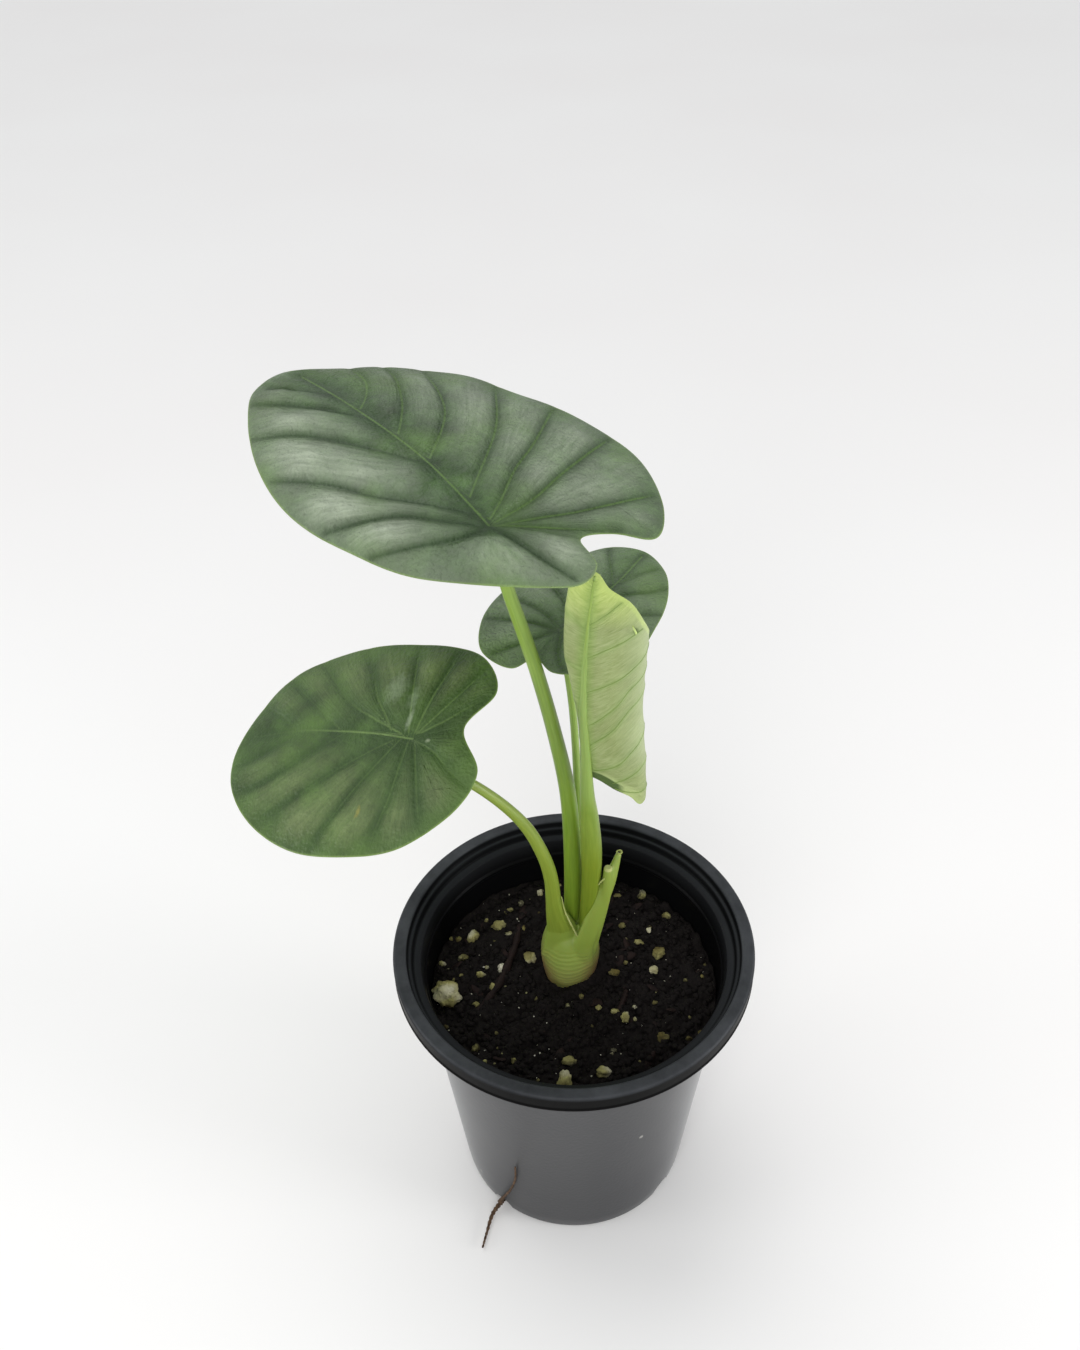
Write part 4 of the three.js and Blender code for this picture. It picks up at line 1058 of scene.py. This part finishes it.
def makePot():
    foot = pot["height"] - pot["skirt"]
    outer, inner, base, height = pot["rimOuter"], pot["rimInner"], pot["baseOuter"], pot["height"]
    outside = lambda z: [wallAt(z), z]
    inside = lambda z, step=0: [wallAt(z) - pot["wall"] - step, z]
    profile = [[0, 0], [base - 1, 0], [base, 1], outside(5.5), outside(8), outside(20),
               outside(pot["wallTop"]),
               [51.2, 97.1], [51.4, 99], [inner + 0.8, 99.4], [inner + 1, height - 1], [outer - 1, height - 1],
               [outer - 1.3, foot], [outer - 0.1, foot], [outer, foot + 0.6], [outer - 0.3, foot + 1.2],
               [outer, height - 0.8], [outer - 0.7, height], [inner + 0.5, height], [inner, height - 0.4],
               [inner - 0.3, 100.5], [50.4, 100.1], [50.2, 98.3], [47.7, 97.7], inside(93), inside(92.5, 0.5),
               inside(91.5, 0.5), inside(91), inside(20), inside(8), inside(3), [base - 2.4, pot["floor"]],
               [0, pot["floor"]]]
    rows = lathe(rounded(profile)[1:-1], pot["sides"])
    body = newObject("nurseryPot", tubeMesh("nurseryPot", rows, rows.mean(1)))
    cutters = bmesh.new()
    for angle in pot["notchAngles"]:
        made = bmesh.ops.create_cone(cutters, cap_ends=True, segments=24, radius1=pot["notchRadius"] * mm,
                                     radius2=pot["notchRadius"] * mm, depth=pot["notchLength"] * mm)
        along = Vector((np.cos(radians(angle)), np.sin(radians(angle)), 0))
        turn = along.to_track_quat("Z", "Y").to_matrix().to_4x4()
        turn.translation = along * (pot["notchInner"] + pot["notchLength"] / 2) * mm
        bmesh.ops.transform(cutters, matrix=turn, verts=made["verts"])
    cutter = newObject("drainCutters", closeBuild("drainCutters", cutters))
    withSettings(body.modifiers.new("drainNotches", "BOOLEAN"), operation="DIFFERENCE", object=cutter)
    mesh = bakeModifiers(body).data
    bpy.data.objects.remove(cutter)
    mesh.materials.clear()
    mesh.materials.append(wallPlastic(pot))
    mesh.materials.append(rimPlastic(pot))
    for face in mesh.polygons:
        x, y, z = face.center / mm
        face.material_index = 0 if z < pot["wallTop"] + 0.2 and np.hypot(x, y) > wallAt(z) - 0.5 else 1
    mesh.set_sharp_from_angle(angle=radians(pot["sharpFrom"]))
    return body


finishPiece(makePot(), "pot", "pot")
print("pot made")


# ---- potting mix ----

mix = {
    "top": 82, "bump": 0.9, "clodHeight": 1.1, "clodScale": 0.35, "rings": 90, "sides": 200,
    "reach": 46, "clearOfBulb": 11.2, "largeLump": 3, "lumpRise": 0.3, "lumpStretch": 0.22, "lumpFlatness": 0.72,
    "seenLumps": [
        [-40.3, -6, 4.6], [-25.3, 22.7, 2.1], [-33.4, 18, 2.3], [-36, 10.2, 1.6], [-14.3, 9.2, 2.2],
        [-23.3, 5.2, 1.7], [-30.1, 2.5, 1.3], [-26, -2.3, 1.3], [-30.8, -9, 1], [-42.8, 7.1, 1.2],
        [-30.2, -24.6, 1.7], [-23, -24.6, 0.7], [-18.2, -29.3, 1], [-26.9, -30.4, 0.7], [-1.6, -29.3, 2.2],
        [-2.7, -37.4, 3.4], [8.9, -33.8, 2.2], [27.2, -21, 2], [15.9, -14.2, 1.8], [12.7, -11.8, 1.2],
        [19, -14.6, 0.7], [19, -9.9, 0.7], [7.8, -10.7, 1], [5.7, -16.5, 0.7], [25.7, -8, 0.9],
        [25.7, 4.2, 1.6], [27.7, 11.2, 2.2], [21.4, 15.9, 1.3], [24.9, 20.1, 1.1], [16.2, 23.3, 1.2],
        [31.1, 27.3, 1.4], [23.3, 36.8, 1.8], [14.9, 35.9, 1], [-11.6, 36.8, 1.3], [-18.4, 33.7, 1.3],
        [-21.7, 29.8, 1], [-16.7, 21.1, 0.8], [-21.5, 19.6, 1.1], [-38.1, 16.9, 1], [-40.6, 17, 0.8],
        [35.5, -21, 1], [39, -19.8, 1], [12.1, -25.1, 0.8], [29.8, -29.9, 0.8], [-2, -9, 1], [13.2, 3.2, 1.6],
        [2.3, -5.6, 0.9], [-40, -17.3, 1.2]],
    "barkStrips": [
        [[-18, 23, 82.4, 0.9], [-20, 11, 83.2, 1.2], [-25, -3, 82.6, 1.1], [-33, -15, 82.2, 0.5]],
        [[17, -2, 82.2, 0.5], [15.5, -8, 83.2, 0.9], [13, -13, 82.3, 0.4]]],
    "crumb": ("#0d0a0a", "#1d1816"), "perlite": ("#62582f", "#9c9661", "#cfcab4"),
    "bark": ("#150e0d", "#2a1d1a"), "stain": "#2a2418",
}


def groundHeight(x, y):
    wave = np.sin(x * 0.31 + 1) * np.cos(y * 0.27) + 0.6 * np.sin(x * 0.7 - y * 0.83)
    return mix["top"] + mix["bump"] * wave


def crumbled(x, y):  # the ground with its small clods
    scale = mix["clodScale"]
    return groundHeight(x, y) + mix["clodHeight"] * noise.fractal(Vector((x * scale, y * scale, 3)), 0.6, 2.1, 4)


def makeGround():
    side = lambda z: wallAt(z) - pot["wall"] - clearance
    radii = np.linspace(0.25, side(mix["top"]), mix["rings"])[::-1]
    profile = [[pot["baseOuter"] - 3, pot["floor"] + clearance], [side(4), 4], [side(40), 40]]
    rows = lathe(profile + [[r, mix["top"]] for r in radii], mix["sides"])
    for point in rows[3:].reshape(-1, 3):
        point[2] = crumbled(point[0], point[1])
    peat = mixSkin("moistPeat", mix["crumb"], 900.0)
    return newObject("pottingMix", tubeMesh("pottingMix", rows, rows.mean(1), [peat]))


def scatterArea(name, outer):  # the open top of the mix, clear of the bulb, as a surface to scatter on
    xs = np.linspace(-mix["reach"], mix["reach"], 2 * mix["reach"] + 1)
    x0, y0 = bulb["middle"]
    index = {}
    for x in xs:
        for y in xs:
            if np.hypot(x, y) < outer and np.hypot(x - x0, y - y0) > mix["clearOfBulb"]:
                index[(x, y)] = len(index)
    rings = [[(x, y), (x1, y), (x1, y1), (x, y1)] for x, x1 in zip(xs, xs[1:]) for y, y1 in zip(xs, xs[1:])]
    faces = [[index[c] for c in ring] for ring in rings if all(c in index for c in ring)]
    return newObject(name, meshFrom(name, [[x, y, crumbled(x, y)] for x, y in index], faces))


# Perlite: no two stones the same tone, stained by the mix where they sit in it
def perliteSkin(look):
    material, add = newMaterial("stainedPerlite")
    place = add("TexCoord").outputs["Object"]
    broad, fine = (add("TexNoise", {"Vector": place, "Scale": scale, "Detail": detail})
                   for scale, detail in ((110, 1), (900, 4)))
    level = unevenHeight(add, add("SeparateXYZ", {0: place}).outputs["Z"], fine, 0.004)
    stain = add("MapRange", {"Value": level, "from": (0.0838, 0.0818), "to": (0, 0.85)})
    tone = add("ValToRGB", {"Fac": broad, "stops": list(zip((0.34, 0.52, 0.72), look["perlite"]))})
    return endMaterial(material, paintOver(add, tone, [(stain, look["stain"])]), roughness=0.9, shine=0.2,
                       bump=(fine, 0.8, 0.0006))


perlite = perliteSkin(mix)
bark = mixSkin("barkChip", mix["bark"], 500.0, 0.7)
finishPiece(makeGround(), "soil", "soil")
scatters = {
    "peatClods": {"Density": 260000.0, "Smallest": 0.0005, "Largest": 0.0013, "Length": 1.3, "Flatness": 0.75,
                  "Roughness": 0.9, "Fineness": 1, "Seed": 3, "outer": 44.5,
                  "Material": mixSkin("peatCrumbs", mix["crumb"], 700.0)},
    "perliteCrumbs": {"Density": 8000.0, "Smallest": 0.0003, "Largest": 0.0008, "Length": 1.2, "Flatness": 0.8,
                      "Roughness": 0.7, "Fineness": 2, "Seed": 11, "outer": 44, "Material": perlite},
    "paleGritGrains": {"Density": 20000.0, "Smallest": 0.0001, "Largest": 0.0003, "Length": 1.5, "Flatness": 0.9,
                       "Roughness": 0.6, "Fineness": 1, "Seed": 23, "outer": 44.8,
                       "Material": mixSkin("paleGrit", ("#a9a48c", "#dcd9cc"), 600.0, 0.8)},
    "barkChips": {"Density": 6000.0, "Smallest": 0.0007, "Largest": 0.0017, "Length": 2.6, "Flatness": 0.3,
                  "Roughness": 0.7, "Fineness": 2, "Seed": 31, "outer": 41, "Material": bark},
}
for name, values in scatters.items():
    finishPiece(runNodes(scatterArea(name, values["outer"]), grains, values), "soil")


def makeLumps():  # the larger perlite stones where they lie
    whole = bmesh.new()
    for number, (x, y, size) in enumerate(mix["seenLumps"]):
        large = mix["largeLump"]
        made = bmesh.ops.create_icosphere(whole, subdivisions=5 if size > large else 4, radius=1.0)
        level = mix["lumpRise"] * size + (crumbled(x, y) + 0.3 if size < large else groundHeight(x, y))
        longer = mix["lumpStretch"] * np.sin(number * 2.4)
        for vert in made["verts"]:
            p = vert.co.copy()
            rough = size * (0.95 + 0.42 * noise.fractal(p * 1.1 + Vector((number * 5.3, 0, 0)), 0.9, 2.3, 5))
            vert.co = Vector((x + p.x * rough * (0.95 + longer), y + p.y * rough * (0.9 - longer),
                              level + p.z * rough * mix["lumpFlatness"])) * mm
    mesh = closeBuild("perliteLumps", whole)
    mesh.polygons.foreach_set("use_smooth", [True] * len(mesh.polygons))
    mesh.materials.append(perlite)
    return newObject("perliteLumps", mesh)


finishPiece(makeLumps(), "soil")
strips = [beaded(path, count=24, by=0.25, step=1.9) for path in mix["barkStrips"]]
finishPiece(makeStrands("barkStrips", strips, bark, sides=10), "soil")
print("potting mix made")


# ---- stray root ----

def onWall(angle, z, width):  # a place on the pot's wall, with the root's radius
    radius = wallAt(z) + width + clearance
    return [radius * np.cos(radians(angle)), radius * np.sin(radians(angle)), z, width]


stray = {
    "tones": ("#2f231b", "#66503c"), "knots": 0.2, "thickness": 0.8,
    "paths": [[[-20, -24.7, 7, 0.9], [-22.6, -28, 3.4, 1], [-25.4, -31.3, 2.4, 1.2]],
              [onWall(-129, 3.2, 1), onWall(-126, 9, 0.6), onWall(-121, 18, 0.5), onWall(-117, 29, 0.42),
               onWall(-116, 38, 0.35)],
              [[-24.8, -30.6, 2.4, 1], [-27.6, -34.4, 1.3, 0.8], [-29.3, -41, 1.1, 0.55], [-30.4, -46, 1, 0.4]]],
}
paths = [beaded(path, count=30, by=stray["knots"], step=2.3, base=stray["thickness"])
         for path in stray["paths"]]
root = makeStrands("strayRoot", paths, mixSkin("dryRootBrown", stray["tones"], 500.0, 0.7), sides=12)
finishPiece(root, "root", "stray_root")
print("stray root made")


# ---- studio ----

studio = {
    "floor": "#f3f2f0", "floorShade": "#f1efed", "floorReach": 3000, "sky": "#f3f5f8", "skyStrength": 0.63,
    "sunStrength": 0.93, "sunAngle": 55, "sunFrom": (-0.3, 0.5, 1.0),
    "fills": {"frontFill": [(-0.25, -1.3, 0.8), 1.0, 9], "rightFill": [(1.2, -0.3, 0.25), 0.5, 8],
              "leftFill": [(-1.2, -0.2, 0.25), 0.5, 4]}, "aim": (0, 0, 0.1),
    "lens": 34.13, "shift": -34 / 1350, "cameraPlace": (0, -0.257, 0.417), "cameraDown": 39,
}


def addLight(name, kind, place, aim, **settings):  # aim points from what is lit towards the light
    held = newObject(name, withSettings(bpy.data.lights.new(name, kind), **settings))
    withSettings(held, location=place, rotation_euler=Vector(aim).to_track_quat("Z", "Y").to_euler())


def makeStudio():
    tones = (studio["floorShade"], studio["floor"])
    skin = cloudSkin("paleStudioFloor", tones, scale=3.0, roughness=0.8, shine=0.2)
    far = studio["floorReach"]
    corners = [[-far, -far, 0], [far, -far, 0], [far, far, 0], [-far, far, 0]]
    newObject("studioFloor", meshFrom("studioFloor", corners, [[0, 1, 2, 3]], [skin]))
    scene.world = bpy.data.worlds.new("softSky")
    scene.world.use_nodes = True
    back = scene.world.node_tree.nodes["Background"]
    back.inputs["Color"].default_value = linear(studio["sky"])
    back.inputs["Strength"].default_value = studio["skyStrength"]
    addLight("overheadLight", "SUN", (0, 0, 0), studio["sunFrom"], energy=studio["sunStrength"],
             angle=radians(studio["sunAngle"]))
    for name, (place, size, power) in studio["fills"].items():
        addLight(name, "AREA", place, Vector(place) - Vector(studio["aim"]), shape="DISK", size=size,
                 energy=power)
    camera = withSettings(bpy.data.cameras.new("camera"), lens=studio["lens"], shift_x=studio["shift"],
                          clip_start=0.01)
    scene.camera = withSettings(newObject("camera", camera), location=studio["cameraPlace"],
                                rotation_euler=(radians(90 - studio["cameraDown"]), 0, 0))


makeStudio()
for mesh in [mesh for mesh in bpy.data.meshes if mesh.users == 0]:
    bpy.data.meshes.remove(mesh)
print("studio ready")
